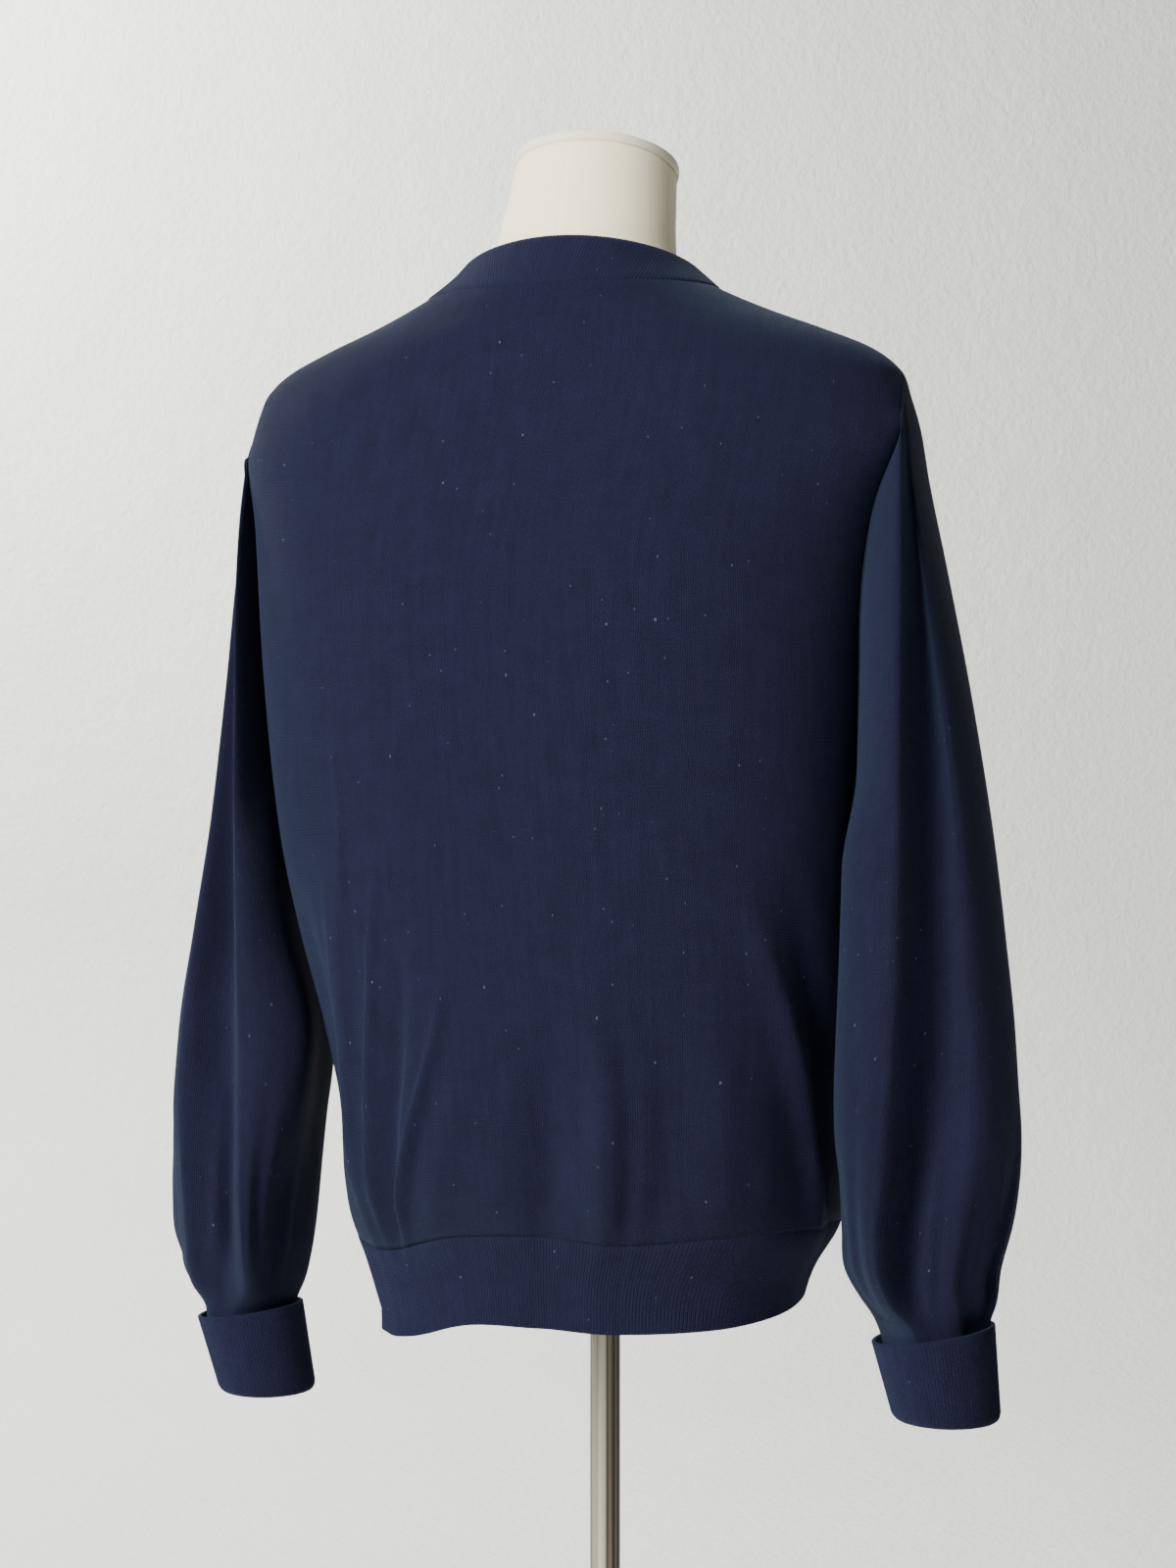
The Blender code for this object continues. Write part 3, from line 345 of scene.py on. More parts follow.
FORM = (
    BodyRow(0.868, 0.001, 0.088, 0.064, -0.064, 0.004, 2.1),
    BodyRow(0.884, 0.001, 0.114, 0.081, -0.082, 0.004, 2.1),
    BodyRow(0.930, 0.001, 0.131, 0.092, -0.094, 0.005, 2.1),
    BodyRow(1.010, 0.002, 0.130, 0.090, -0.096, 0.006, 2.1),
    BodyRow(1.090, 0.003, 0.143, 0.100, -0.103, 0.010, 2.2),
    BodyRow(1.180, 0.005, 0.158, 0.114, -0.114, 0.020, 2.3),
    BodyRow(1.260, 0.006, 0.170, 0.124, -0.117, 0.034, 2.4),
    BodyRow(1.320, 0.006, 0.182, 0.125, -0.104, 0.042, 2.5),
    BodyRow(1.360, 0.006, 0.200, 0.135, -0.100, 0.045, 2.5),
    BodyRow(1.390, 0.006, 0.230, 0.180, -0.120, 0.046, 2.5),
)
NeckRow = namedtuple("NeckRow", "z x y half_x half_y tilt")
NECK = (
    NeckRow(1.4530, 0.0055, 0.0330, 0.0720, 0.0550, 0.0),
    NeckRow(1.4600, 0.0050, 0.0300, 0.0630, 0.0545, 0.0),
    NeckRow(1.4720, 0.0045, 0.0245, 0.0572, 0.0530, 2.0),
    NeckRow(1.4900, 0.0040, 0.0205, 0.0545, 0.0520, 5.0),
    NeckRow(1.5100, 0.0030, 0.0150, 0.0520, 0.0510, 8.0),
    NeckRow(1.5285, 0.0020, 0.0105, 0.0500, 0.0500, 11.0),
)
FORM_ROWS = (FORM[0].z, 0.874, 0.884, 0.905, 0.935, 0.98, 1.03, 1.09, 1.15, 1.21, 1.26, 1.30, 1.33,
             1.352, 1.368, 1.380, 1.390, 1.398, 1.406, 1.414, 1.422, 1.431, 1.439, 1.446)
FORM_FOLLOWS_CLOTH = (1.28, 1.34)
FORM_DROP = 0.0028
FORM_INSET = 0.0043
FORM_TURNS = 181
FORM_FINE_ROWS = 200
SOCKET_DEPTH = 0.100
SOCKET_RADIUS = POLE_RADIUS + 0.0003
FORM_SEAMS = (0.0, 0.5 * math.pi, math.pi, 1.5 * math.pi)
FORM_SEAM_WIDTH = 0.0006
FORM_SEAM_DEPTH = 0.0005
LINEN_LIGHT = (0.99, 0.90, 0.65, 1)
LINEN_DARK = (0.84, 0.73, 0.49, 1)
THREADS_PER_METRE = 1500

linen = Finish("cream linen", {"Sheen Weight": 0.15, "Sheen Roughness": 0.6, "Roughness": 0.9})
uv = linen.node("ShaderNodeUVMap", {"uv_map": "stitches"}, {})
warp = linen.sum("SINE", linen.split(uv, 0) * (THREADS_PER_METRE * math.pi))
weft = linen.sum("SINE", linen.split(uv, 1) * (THREADS_PER_METRE * math.pi))
slub = linen.noise(linen.stretch(uv, (120, 900, 1)), 1.0, 3.0)
slub_across = linen.noise(linen.stretch(uv, (900, 120, 1)), 1.0, 3.0)
weave = warp * weft * 0.5 + slub * 0.35 + slub_across * 0.35
linen_finish = linen.shade(
    colour=linen.blend(slub * 0.45 + slub_across * 0.45 + linen.noise(uv, 14.0) * 0.2,
                       LINEN_DARK, LINEN_LIGHT),
    roughness=0.92 - slub * 0.12,
    normal=linen.bump(weave, 0.00018, 0.55))

turn = np.linspace(0, 2 * math.pi, FORM_TURNS)
rings = []
for z in FORM_ROWS:
    follow = rise(*FORM_FOLLOWS_CLOTH, z)
    middle = column(FORM, "middle", z) * (1 - follow) + column(BODY, "middle", z) * follow
    side_y = column(FORM, "side_y", z) * (1 - follow) + column(BODY, "side_y", z) * follow
    own = radius(FORM, turn, np.full(len(turn), z))
    under_cloth = radius(BODY, turn, np.full(len(turn), z + FORM_DROP)) - FORM_INSET
    reach = np.where(z > FORM_FOLLOWS_CLOTH[0], np.minimum(own, under_cloth), own)
    rings.append(stack(middle + reach * np.cos(turn), side_y + reach * np.sin(turn), z))
for row in NECK:
    y = row.half_y * np.sin(turn)
    rings.append(stack(row.x + row.half_x * np.cos(turn), row.y + y,
                       row.z + y * math.tan(math.radians(row.tilt))))
rings = np.array(rings)
share = np.arange(len(rings))
fine = np.linspace(0, len(rings) - 1, FORM_FINE_ROWS)
before = np.clip(fine.astype(int), 0, len(rings) - 2)
part = (fine - before)[:, None, None]
slope = np.gradient(rings, axis=0)
skin = (rings[before] * (1 + 2 * part) * (1 - part) ** 2 + slope[before] * part * (1 - part) ** 2
        + rings[before + 1] * part ** 2 * (3 - 2 * part)
        - slope[before + 1] * part ** 2 * (1 - part))
skin = skin.transpose(1, 0, 2)
middle = skin.mean(axis=0, keepdims=True)
from_middle = skin - middle
from_middle[..., 2] = 0
from_middle /= np.linalg.norm(from_middle, axis=-1, keepdims=True)
groove = sum(np.exp(-(((turn - seam + math.pi) % (2 * math.pi) - math.pi) * 0.1
                      / FORM_SEAM_WIDTH) ** 2) for seam in FORM_SEAMS)
skin = skin - from_middle * (groove * FORM_SEAM_DEPTH)[:, None, None]
circle = stack(SOCKET_RADIUS * np.cos(turn), SOCKET_RADIUS * np.sin(turn), 0.0)[:, None]
foot = FORM[0].z
closed = np.concatenate([circle * 0 + (0, 0, foot + SOCKET_DEPTH),
                         circle + (0, 0, foot + SOCKET_DEPTH), circle + (0, 0, foot), skin,
                         circle * 0 + (NECK[-1].x, NECK[-1].y, NECK[-1].z)], axis=1)
down = np.cumsum(np.r_[0, np.linalg.norm(np.diff(closed[0], axis=0), axis=-1)])
around = np.cumsum(np.r_[0, np.linalg.norm(np.diff(closed[:, 100], axis=0), axis=-1)])
cover = np.stack(np.broadcast_arrays(around[:, None], down[None]), axis=-1)
new_object("form_cover", grid_mesh("form_cover", closed, cover, join=True), linen_finish,
           "cream_linen", "dress_form")


# The neck cap: a round plate under the same linen, glued on the neck's tilted top, with a thin
# dark line where it meets the neck.
CAP_RADIUS = 0.0512
CAP_THICKNESS = 0.0065
CAP_EASE = 0.0016
CAP_GAP = 0.0003

cap_linen = Finish("cap linen", {"Sheen Weight": 0.15, "Sheen Roughness": 0.6, "Roughness": 0.9})
spot = cap_linen.place()
threads = cap_linen.sum("SINE", cap_linen.split(spot, 0) * (THREADS_PER_METRE * math.pi))
across = cap_linen.sum("SINE", cap_linen.split(spot, 1) * (THREADS_PER_METRE * math.pi))
fleck = cap_linen.noise(spot, 420.0)
cap_finish = cap_linen.shade(
    colour=cap_linen.blend(fleck, (0.70, 0.64, 0.50, 1), (0.80, 0.745, 0.60, 1)),
    roughness=0.9 - fleck * 0.1,
    normal=cap_linen.bump(threads * across * 0.5 + fleck, 0.00018, 0.5))

top = NECK[-1]
tilt = math.radians(top.tilt)
lift = CAP_THICKNESS / 2 + CAP_GAP
cap_place = (Matrix.Translation((top.x, top.y - lift * math.sin(tilt),
                                 top.z + lift * math.cos(tilt)))
             @ Matrix.Rotation(tilt, 4, "X"))
half = CAP_THICKNESS / 2
cap_outline = [(0.0, half), (CAP_RADIUS * 0.5, half),
               *arc((CAP_RADIUS - CAP_EASE, half - CAP_EASE), CAP_EASE, 90, 0, 7),
               *arc((CAP_RADIUS - CAP_EASE, -half + CAP_EASE), CAP_EASE, 0, -90, 7),
               (0.0, -half)]
turned("cap_cover", cap_outline, cap_finish, "cream_cap", "neck_cap", place=cap_place)


# The back: one panel of fine stocking-stitch wool, knitted flat and linked to its neighbours. It
# hangs from the shoulders, bells out over the hem rib and falls in soft upright folds.
WALL = 0.0018
SEAM_GAP = 0.0005
SEAM_REACH = 0.032
BODY_MEAN_RADIUS = 0.155
SLEEVE_ROUND = 0.36
UNDERARM_Z = 1.112
SHOULDER_POINT_Z = 1.388
NECK_SEAM_Z = 1.447
SHOULDER_FADE = 0.02
UNDERARM_FADE = 0.06
BODY_FOLDS_FADE = (1.05, 1.20)
HEM_CREASE_FADE = (0.845, 0.885)
SLEEVE_FOLDS_FADE = (0.980, 1.060)
SLEEVE_END_FADE = (0.838, 0.870)
WALE = 0.0019
COURSE = 0.0018
NAVY_DARK = (0.0001, 0.0003, 0.0018, 1)
NAVY_LIGHT = (0.0118, 0.0128, 0.0410, 1)
LINT = (0.055, 0.065, 0.10, 1)
LINT_ABOVE = 0.862
PLAIN_SHADE, RIB_SHADE = 0.69, 0.53
WALE_WANDER, COURSE_WANDER = 0.30, 2.6
LEG_SLANT = 0.62

SleeveRow = namedtuple("SleeveRow", "z outer inner ridge back front step")
LEFT_SLEEVE = (
    SleeveRow(0.800, 0.2488, 0.1914, 0.2220, 0.0734, 0.0166, 0.000),
    SleeveRow(0.812, 0.2520, 0.1936, 0.2220, 0.0740, 0.0162, 0.000),
    SleeveRow(0.820, 0.2550, 0.1956, 0.2180, 0.0745, 0.0156, 0.001),
    SleeveRow(0.833, 0.2665, 0.1935, 0.2080, 0.0840, 0.0050, 0.006),
    SleeveRow(0.855, 0.2735, 0.1910, 0.2050, 0.0920, -0.0080, 0.010),
    SleeveRow(0.890, 0.2770, 0.1875, 0.2040, 0.0970, -0.0170, 0.012),
    SleeveRow(0.935, 0.2765, 0.1815, 0.2035, 0.0990, -0.0240, 0.013),
    SleeveRow(1.000, 0.2715, 0.1765, 0.2035, 0.0990, -0.0280, 0.016),
    SleeveRow(1.060, 0.2600, 0.1895, 0.2060, 0.0975, -0.0300, 0.018),
    SleeveRow(1.120, 0.2480, 0.1975, 0.2080, 0.0960, -0.0300, 0.014),
    SleeveRow(1.200, 0.2355, 0.2035, 0.2090, 0.0940, -0.0280, 0.010),
    SleeveRow(1.280, 0.2245, 0.2050, 0.2095, 0.0900, -0.0180, 0.006),
    SleeveRow(1.330, 0.2180, 0.2045, 0.2080, 0.0840, -0.0050, 0.003),
    SleeveRow(1.360, 0.2150, 0.2050, 0.2080, 0.0740, 0.0150, 0.001),
    SleeveRow(1.390, 0.2060, 0.2030, 0.2045, 0.0560, 0.0400, 0.000),
)
RIGHT_SLEEVE = (
    SleeveRow(0.812, 0.2484, 0.1900, 0.2150, 0.0744, 0.0158, 0.000),
    SleeveRow(0.828, 0.2478, 0.1868, 0.2150, 0.0750, 0.0152, 0.000),
    SleeveRow(0.838, 0.2468, 0.1830, 0.2100, 0.0756, 0.0146, 0.001),
    SleeveRow(0.850, 0.2500, 0.1740, 0.2000, 0.0840, 0.0040, 0.006),
    SleeveRow(0.866, 0.2515, 0.1655, 0.1940, 0.0920, -0.0100, 0.010),
    SleeveRow(0.890, 0.2575, 0.1640, 0.1920, 0.0980, -0.0180, 0.013),
    SleeveRow(0.935, 0.2640, 0.1640, 0.1960, 0.1010, -0.0250, 0.016),
    SleeveRow(1.000, 0.2620, 0.1655, 0.2020, 0.1010, -0.0300, 0.017),
    SleeveRow(1.060, 0.2555, 0.1675, 0.2045, 0.1000, -0.0320, 0.016),
    SleeveRow(1.120, 0.2480, 0.1690, 0.2055, 0.0980, -0.0320, 0.016),
    SleeveRow(1.200, 0.2350, 0.1710, 0.2060, 0.0960, -0.0300, 0.015),
    SleeveRow(1.280, 0.2200, 0.1735, 0.2065, 0.0930, -0.0200, 0.011),
    SleeveRow(1.330, 0.2105, 0.1800, 0.2055, 0.0870, -0.0050, 0.006),
    SleeveRow(1.360, 0.2065, 0.1920, 0.2035, 0.0760, 0.0150, 0.002),
    SleeveRow(1.390, 0.1990, 0.1945, 0.1975, 0.0560, 0.0400, 0.000),
)
INNER_FLATTENS = (0.860, 0.950)
INNER_ROUNDS = (1.10, 1.16)
INNER_FACE = {1: 1.0, -1: 0.4}
RIDGE_STEP = {1: 1.7, -1: 1.35}
OUTER, OUTER_BACK, VALLEY, RIDGE, INNER_BACK = 0.00, 0.12, 0.205, 0.27, 0.40
INNER, INNER_FRONT, FRONT_RIDGE, OUTER_FRONT = 0.52, 0.64, 0.76, 0.88
PLACES = (OUTER, OUTER_BACK, VALLEY, RIDGE, INNER_BACK, INNER, INNER_FRONT, FRONT_RIDGE, OUTER_FRONT)
ARMHOLE_BACK = ((0.00, SHOULDER_POINT_Z), (0.12, 1.380), (0.205, 1.366), (0.27, 1.350),
                (0.34, 1.325), (0.40, 1.285), (0.46, 1.205), (INNER, UNDERARM_Z))
ARMHOLE_FRONT = ((1.00, SHOULDER_POINT_Z), (0.88, 1.376), (0.76, 1.345), (0.70, 1.325),
                 (0.64, 1.280), (0.58, 1.200), (INNER, UNDERARM_Z))
ARMHOLE_ROWS = (UNDERARM_Z, 1.150, 1.200, 1.245, 1.285, 1.310, 1.330, 1.345, 1.357, 1.367,
                1.376, 1.383, SHOULDER_POINT_Z)
SHOULDER_ROWS = (SHOULDER_POINT_Z, 1.394, 1.402, 1.411, 1.421, 1.433, NECK_SEAM_Z)

Fold = namedtuple("Fold", "top_angle foot_angle top_z foot_z width height")
BODY_FOLDS = (
    Fold(33, 33, 1.170, 0.880, 0.011, 0.0045),
    Fold(21, 22, 1.120, 0.930, 0.016, -0.0080),
    Fold(100, 95, 1.020, 0.880, 0.024, -0.0050),
    Fold(118, 113, 1.060, 0.880, 0.022, 0.0045),
    Fold(146, 150, 1.040, 0.870, 0.020, 0.0030),
    Fold(205, 212, 1.060, 0.880, 0.016, -0.0060),
    Fold(222, 230, 1.050, 0.880, 0.014, 0.0050),
    Fold(246, 250, 0.980, 0.880, 0.012, -0.0040),
    Fold(292, 290, 0.980, 0.880, 0.012, -0.0040),
    Fold(316, 310, 1.060, 0.880, 0.015, 0.0050),
    Fold(334, 326, 1.060, 0.880, 0.016, -0.0060),
)
SLEEVE_FOLDS = (
    Fold(0.215, 0.215, 1.050, 0.815, 0.030, -0.0060),
    Fold(0.150, 0.145, 0.990, 0.815, 0.026, 0.0060),
    Fold(0.080, 0.085, 0.960, 0.815, 0.024, -0.0060),
    Fold(0.950, 0.945, 0.980, 0.815, 0.028, 0.0050),
    Fold(0.870, 0.870, 0.960, 0.815, 0.026, -0.0050),
    Fold(0.780, 0.780, 1.000, 0.815, 0.026, 0.0055),
    Fold(0.680, 0.685, 0.960, 0.815, 0.026, -0.0050),
    Fold(0.590, 0.590, 0.950, 0.815, 0.026, 0.0045),
    Fold(0.400, 0.400, 0.980, 0.815, 0.028, -0.0050),
)
BODY_CREASES = (
    Fold(39, 33, 1.260, 0.880, 0.0042, 0.0020),
    Fold(31, 28, 1.150, 0.900, 0.0060, -0.0023),
    Fold(46, 38, 1.130, 0.862, 0.0036, 0.0044),
    Fold(53, 42, 1.080, 0.862, 0.0080, -0.0060),
    Fold(66, 43, 1.050, 0.862, 0.0046, 0.0060),
    Fold(74, 56, 1.020, 0.880, 0.0150, 0.0021),
    Fold(98, 94, 1.045, 0.875, 0.0140, -0.0016),
    Fold(113, 112, 1.070, 0.872, 0.0100, 0.0026),
    Fold(120, 119, 1.050, 0.872, 0.0070, -0.0021),
    Fold(130, 127, 1.030, 0.880, 0.0110, -0.0023),
    Fold(141, 140, 1.060, 0.875, 0.0130, 0.0034),
    Fold(149, 171, 1.120, 0.868, 0.0080, 0.0075),
    Fold(158, 181, 1.120, 0.880, 0.0110, -0.0088),
    Fold(172, 190, 1.100, 0.900, 0.0120, 0.0039),
    Fold(213, 218, 1.010, 0.880, 0.0060, 0.0029),
    Fold(236, 240, 0.990, 0.880, 0.0070, 0.0026),
    Fold(302, 299, 1.000, 0.880, 0.0070, 0.0026),
    Fold(324, 318, 1.020, 0.880, 0.0060, -0.0029),
    Fold(346, 340, 1.030, 0.880, 0.0060, 0.0029),
)
CREASE_BEND = 1.35
SLEEVE_CREASES = (
    Fold(0.262, 0.262, 1.240, 0.830, 0.0050, 0.0014),
    Fold(0.222, 0.232, 1.020, 0.800, 0.0080, -0.0074),
    Fold(0.196, 0.190, 0.985, 0.800, 0.0050, 0.0041),
    Fold(0.252, 0.256, 0.970, 0.815, 0.0050, 0.0026),
    Fold(0.115, 0.118, 0.975, 0.815, 0.0060, -0.0031),
    Fold(0.055, 0.038, 0.955, 0.810, 0.0065, 0.0043),
    Fold(0.022, 0.010, 0.940, 0.815, 0.0060, -0.0034),
    Fold(0.980, 0.985, 0.960, 0.815, 0.0065, -0.0024),
    Fold(0.912, 0.908, 0.935, 0.815, 0.0060, 0.0024),
    Fold(0.825, 0.822, 0.970, 0.815, 0.0065, -0.0026),
    Fold(0.730, 0.728, 0.945, 0.815, 0.0060, 0.0022),
    Fold(0.640, 0.638, 0.930, 0.815, 0.0065, -0.0024),
    Fold(0.330, 0.325, 1.000, 0.815, 0.0070, -0.0026),
    Fold(0.360, 0.362, 0.950, 0.815, 0.0060, 0.0022),
    Fold(0.455, 0.460, 0.940, 0.815, 0.0060, 0.0022),
)
HEM_SEAM = ((0, 0.868), (35, 0.866), (60, 0.880), (90, 0.885), (120, 0.882), (150, 0.888),
            (180, 0.885), (230, 0.878), (270, 0.876), (310, 0.876), (360, 0.868))


def fold_height(folds, place, z, scale, bend=1.0):
    """The folds' height at a place round a section; scale turns places to metres."""
    total = np.zeros(np.broadcast(place, z).shape)
    for fold in folds:
        down = np.clip((fold.top_z - z) / (fold.top_z - fold.foot_z), 0, 1)
        middle = fold.top_angle + (fold.foot_angle - fold.top_angle) * down ** bend
        total = total + (fold.height * rise(0, 0.55, down) * (1 - 0.75 * rise(0.8, 1.0, down))
                         * np.exp(-((place - middle) * scale / fold.width) ** 2))
    return total


def sleeve_point(table, side, place, z):
    """A point of a sleeve's section at height z; side is 1 for the wearer's left."""
    outer, inner = column(table, "outer", z), column(table, "inner", z)
    ridge, back = column(table, "ridge", z), column(table, "back", z)
    front, step = column(table, "front", z), column(table, "step", z)
    middle_x, middle_y = (outer + inner) / 2, (back + front) / 2
    half_y = (back - front) / 2
    face_by = INNER_FACE[side] * (1 - rise(*INNER_ROUNDS, z)) * rise(*INNER_FLATTENS, z)
    step = step * RIDGE_STEP[side]
    xs = (outer, ridge + 0.78 * (outer - ridge), ridge + 0.36 * (outer - ridge), ridge,
          inner + (0.22 - 0.50 * face_by) * (ridge - inner), inner,
          inner + 0.20 * (middle_x - inner), middle_x,
          outer - 0.25 * (outer - middle_x))
    ys = (middle_y, middle_y + 0.58 * half_y, back - 0.12 * half_y - step, back,
          middle_y + (0.55 + 0.17 * face_by) * half_y, middle_y, middle_y - 0.60 * half_y, front,
          middle_y - 0.66 * half_y)
    knots = np.array([PLACES[-2] - 1, PLACES[-1] - 1, *PLACES, 1 + PLACES[0], 1 + PLACES[1]])
    points = []
    shape = np.broadcast(place, z).shape
    place = np.broadcast_to(place % 1.0, shape)
    i = np.clip(np.searchsorted(knots, place, side="right") - 1, 1, len(knots) - 3)
    gap = knots[i + 1] - knots[i]
    t = (place - knots[i]) / gap
    for values in (xs, ys):
        ring = np.stack([np.broadcast_to(v, shape) for v in
                         (*values[-2:], *values, *values[:2])])
        at = [np.take_along_axis(ring, (i + k)[None], 0)[0] for k in (-1, 0, 1, 2)]
        start = (at[2] - at[0]) / (knots[i + 1] - knots[i - 1])
        end = (at[3] - at[1]) / (knots[i + 2] - knots[i])
        points.append(at[1] * (1 + 2 * t) * (1 - t) ** 2 + start * gap * t * (1 - t) ** 2
                      + at[2] * t * t * (3 - 2 * t) - end * gap * t * t * (1 - t))
    x, y = points
    push = fold_height(SLEEVE_FOLDS, place, z, SLEEVE_ROUND) * (1 - rise(*SLEEVE_FOLDS_FADE, z))
    push = push + fold_height(SLEEVE_CREASES, place, z, SLEEVE_ROUND) * rise(*SLEEVE_END_FADE, z)
    away = np.hypot(x - middle_x, y - middle_y)
    x = x + push * (x - middle_x) / away
    y = y + push * (y - middle_y) / away
    return side * x, y


class Armhole:
    """The seam between the body and one sleeve, as the body's own angles and radii."""

    def __init__(self, table, side):
        self.side = side
        self.edges = {}
        for half, knots in (("back", ARMHOLE_BACK), ("front", ARMHOLE_FRONT)):
            order = sorted(knots, key=lambda knot: knot[1])
            heights, places = [k[1] for k in order], [k[0] for k in order]
            z = np.linspace(UNDERARM_Z, SHOULDER_POINT_Z, 200)
            x, y = sleeve_point(table, side, smooth(heights, places, z), z)
            x = x - column(BODY, "middle", z)
            y = y - column(BODY, "side_y", z)
            angle = np.arctan2(y, side * x)
            self.edges[half] = (z, angle, np.hypot(x, y), heights, places)

    def angle(self, half, z):
        """The seam's angle from the side, at a height anywhere on the body."""
        heights, angles = self.edges[half][:2]
        inside = np.interp(z, heights, angles)
        return inside * (1 - rise(SHOULDER_POINT_Z, SHOULDER_POINT_Z + SHOULDER_FADE, z))

    def extra(self, half, z):
        """How far the seam lies outside the body's plain section."""
        heights, angles, radii = self.edges[half][:3]
        at = np.clip(z, UNDERARM_Z, SHOULDER_POINT_Z)
        angle, reach = np.interp(at, heights, angles), np.interp(at, heights, radii)
        plain = radius(BODY, angle if self.side > 0 else math.pi - angle, at)
        below = rise(UNDERARM_Z - UNDERARM_FADE, UNDERARM_Z, z)
        above = 1 - rise(SHOULDER_POINT_Z, SHOULDER_POINT_Z + SHOULDER_FADE, z)
        return (reach - plain) * below * above

    def places(self, half, z):
        """The places round the sleeve whose columns start at heights z."""
        return smooth(self.edges[half][3], self.edges[half][4], z)


LEFT_ARMHOLE = Armhole(LEFT_SLEEVE, 1)
RIGHT_ARMHOLE = Armhole(RIGHT_SLEEVE, -1)


def body_point(angle, z):
    """A point of the body's cloth, for an angle from the wearer's left through the back."""
    angle, z = np.broadcast_arrays(np.asarray(angle, float), np.asarray(z, float))
    reach = radius(BODY, angle, z)
    turned = np.degrees(angle) % 360
    push = fold_height(BODY_FOLDS, turned, z, math.radians(1) * BODY_MEAN_RADIUS)
    out = reach + push * (1 - rise(*BODY_FOLDS_FADE, z))
    creases = fold_height(BODY_CREASES, turned, z, math.radians(1) * BODY_MEAN_RADIUS, CREASE_BEND)
    out = out + creases * rise(*HEM_CREASE_FADE, z)
    for armhole in (LEFT_ARMHOLE, RIGHT_ARMHOLE):
        for half in ("back", "front"):
            seam = armhole.angle(half, z)
            seam = seam if armhole.side > 0 else math.pi - seam
            turn = (angle - seam + math.pi) % (2 * math.pi) - math.pi
            own = (np.sin(angle) >= 0) == (half == "back")
            near = np.exp(-(turn * reach / SEAM_REACH) ** 2)
            out = out + np.where(own, armhole.extra(half, z) * near, 0)
    x = column(BODY, "middle", z) + out * np.cos(angle)
    y = column(BODY, "side_y", z) + out * np.sin(angle)
    return x, y


def hem_seam_z(angle):
    degrees, heights = zip(*HEM_SEAM)
    return smooth(degrees, heights, np.degrees(angle) % 360)


def seam_angles(z):
    """The body's seam angles at heights z: left back, right back, left front, right front."""
    return (LEFT_ARMHOLE.angle("back", z), math.pi - RIGHT_ARMHOLE.angle("back", z),
            2 * math.pi + LEFT_ARMHOLE.angle("front", z),
            math.pi - RIGHT_ARMHOLE.angle("front", z))


def edge_turn(z):
    """Half of a seam's gap, as an angle of the body."""
    return SEAM_GAP / 2 / column(BODY, "half", z)


LOWER_COUNT, ARMHOLE_COUNT, SHOULDER_COUNT = 72, 84, 30


def body_heights(angle):
    """The heights of the body's rows over each angle, from the hem seam to the neck seam."""
    foot = (hem_seam_z(angle) + SEAM_GAP)[:, None]
    lower = foot + (UNDERARM_Z - foot) * np.linspace(0, 1, LOWER_COUNT, endpoint=False)
    upper = np.concatenate([refine(ARMHOLE_ROWS, ARMHOLE_COUNT),
                            refine(SHOULDER_ROWS, SHOULDER_COUNT)[1:]])
    return np.concatenate([lower, np.broadcast_to(upper, (len(foot), len(upper)))], axis=1)


def lengths(points, axis):
    """The distance along each line of a grid, from its start."""
    steps = np.linalg.norm(np.diff(points, axis=axis), axis=-1)
    zero = np.zeros_like(np.take(steps, [0], axis=axis))
    return np.concatenate([zero, np.cumsum(steps, axis=axis)], axis=axis)


def outward(points, flip=False):
    """The normals of a grid, columns by rows."""
    across = np.gradient(points, axis=0)
    along = np.gradient(points, axis=1)
    normal = np.cross(across, along)
    normal /= np.maximum(np.linalg.norm(normal, axis=-1, keepdims=True), 1e-12)
    return -normal if flip else normal


def tuck(points, axis, first, flip=False, reach=0.0024, depth=0.0010):
    """The grid with one more row at an edge, sunk under the neighbour that it is linked to."""
    rows = points.swapaxes(0, axis)
    normals = outward(points, flip).swapaxes(0, axis)
    edge, inside = (rows[0], rows[1]) if first else (rows[-1], rows[-2])
    normal = normals[1] if first else normals[-2]
    away = edge - inside
    away /= np.maximum(np.linalg.norm(away, axis=-1, keepdims=True), 1e-12)
    extra = (edge + away * reach - normal * depth)[None]
    rows = np.concatenate([extra, rows] if first else [rows, extra])
    return rows.swapaxes(0, axis)


def stitches(points, middle):
    """Wale and course numbers of a panel's points, counted from a column and from its foot."""
    across = lengths(points, 0)
    across = across - across[middle]
    return np.stack([across / WALE, lengths(points, 1) / COURSE], axis=-1)


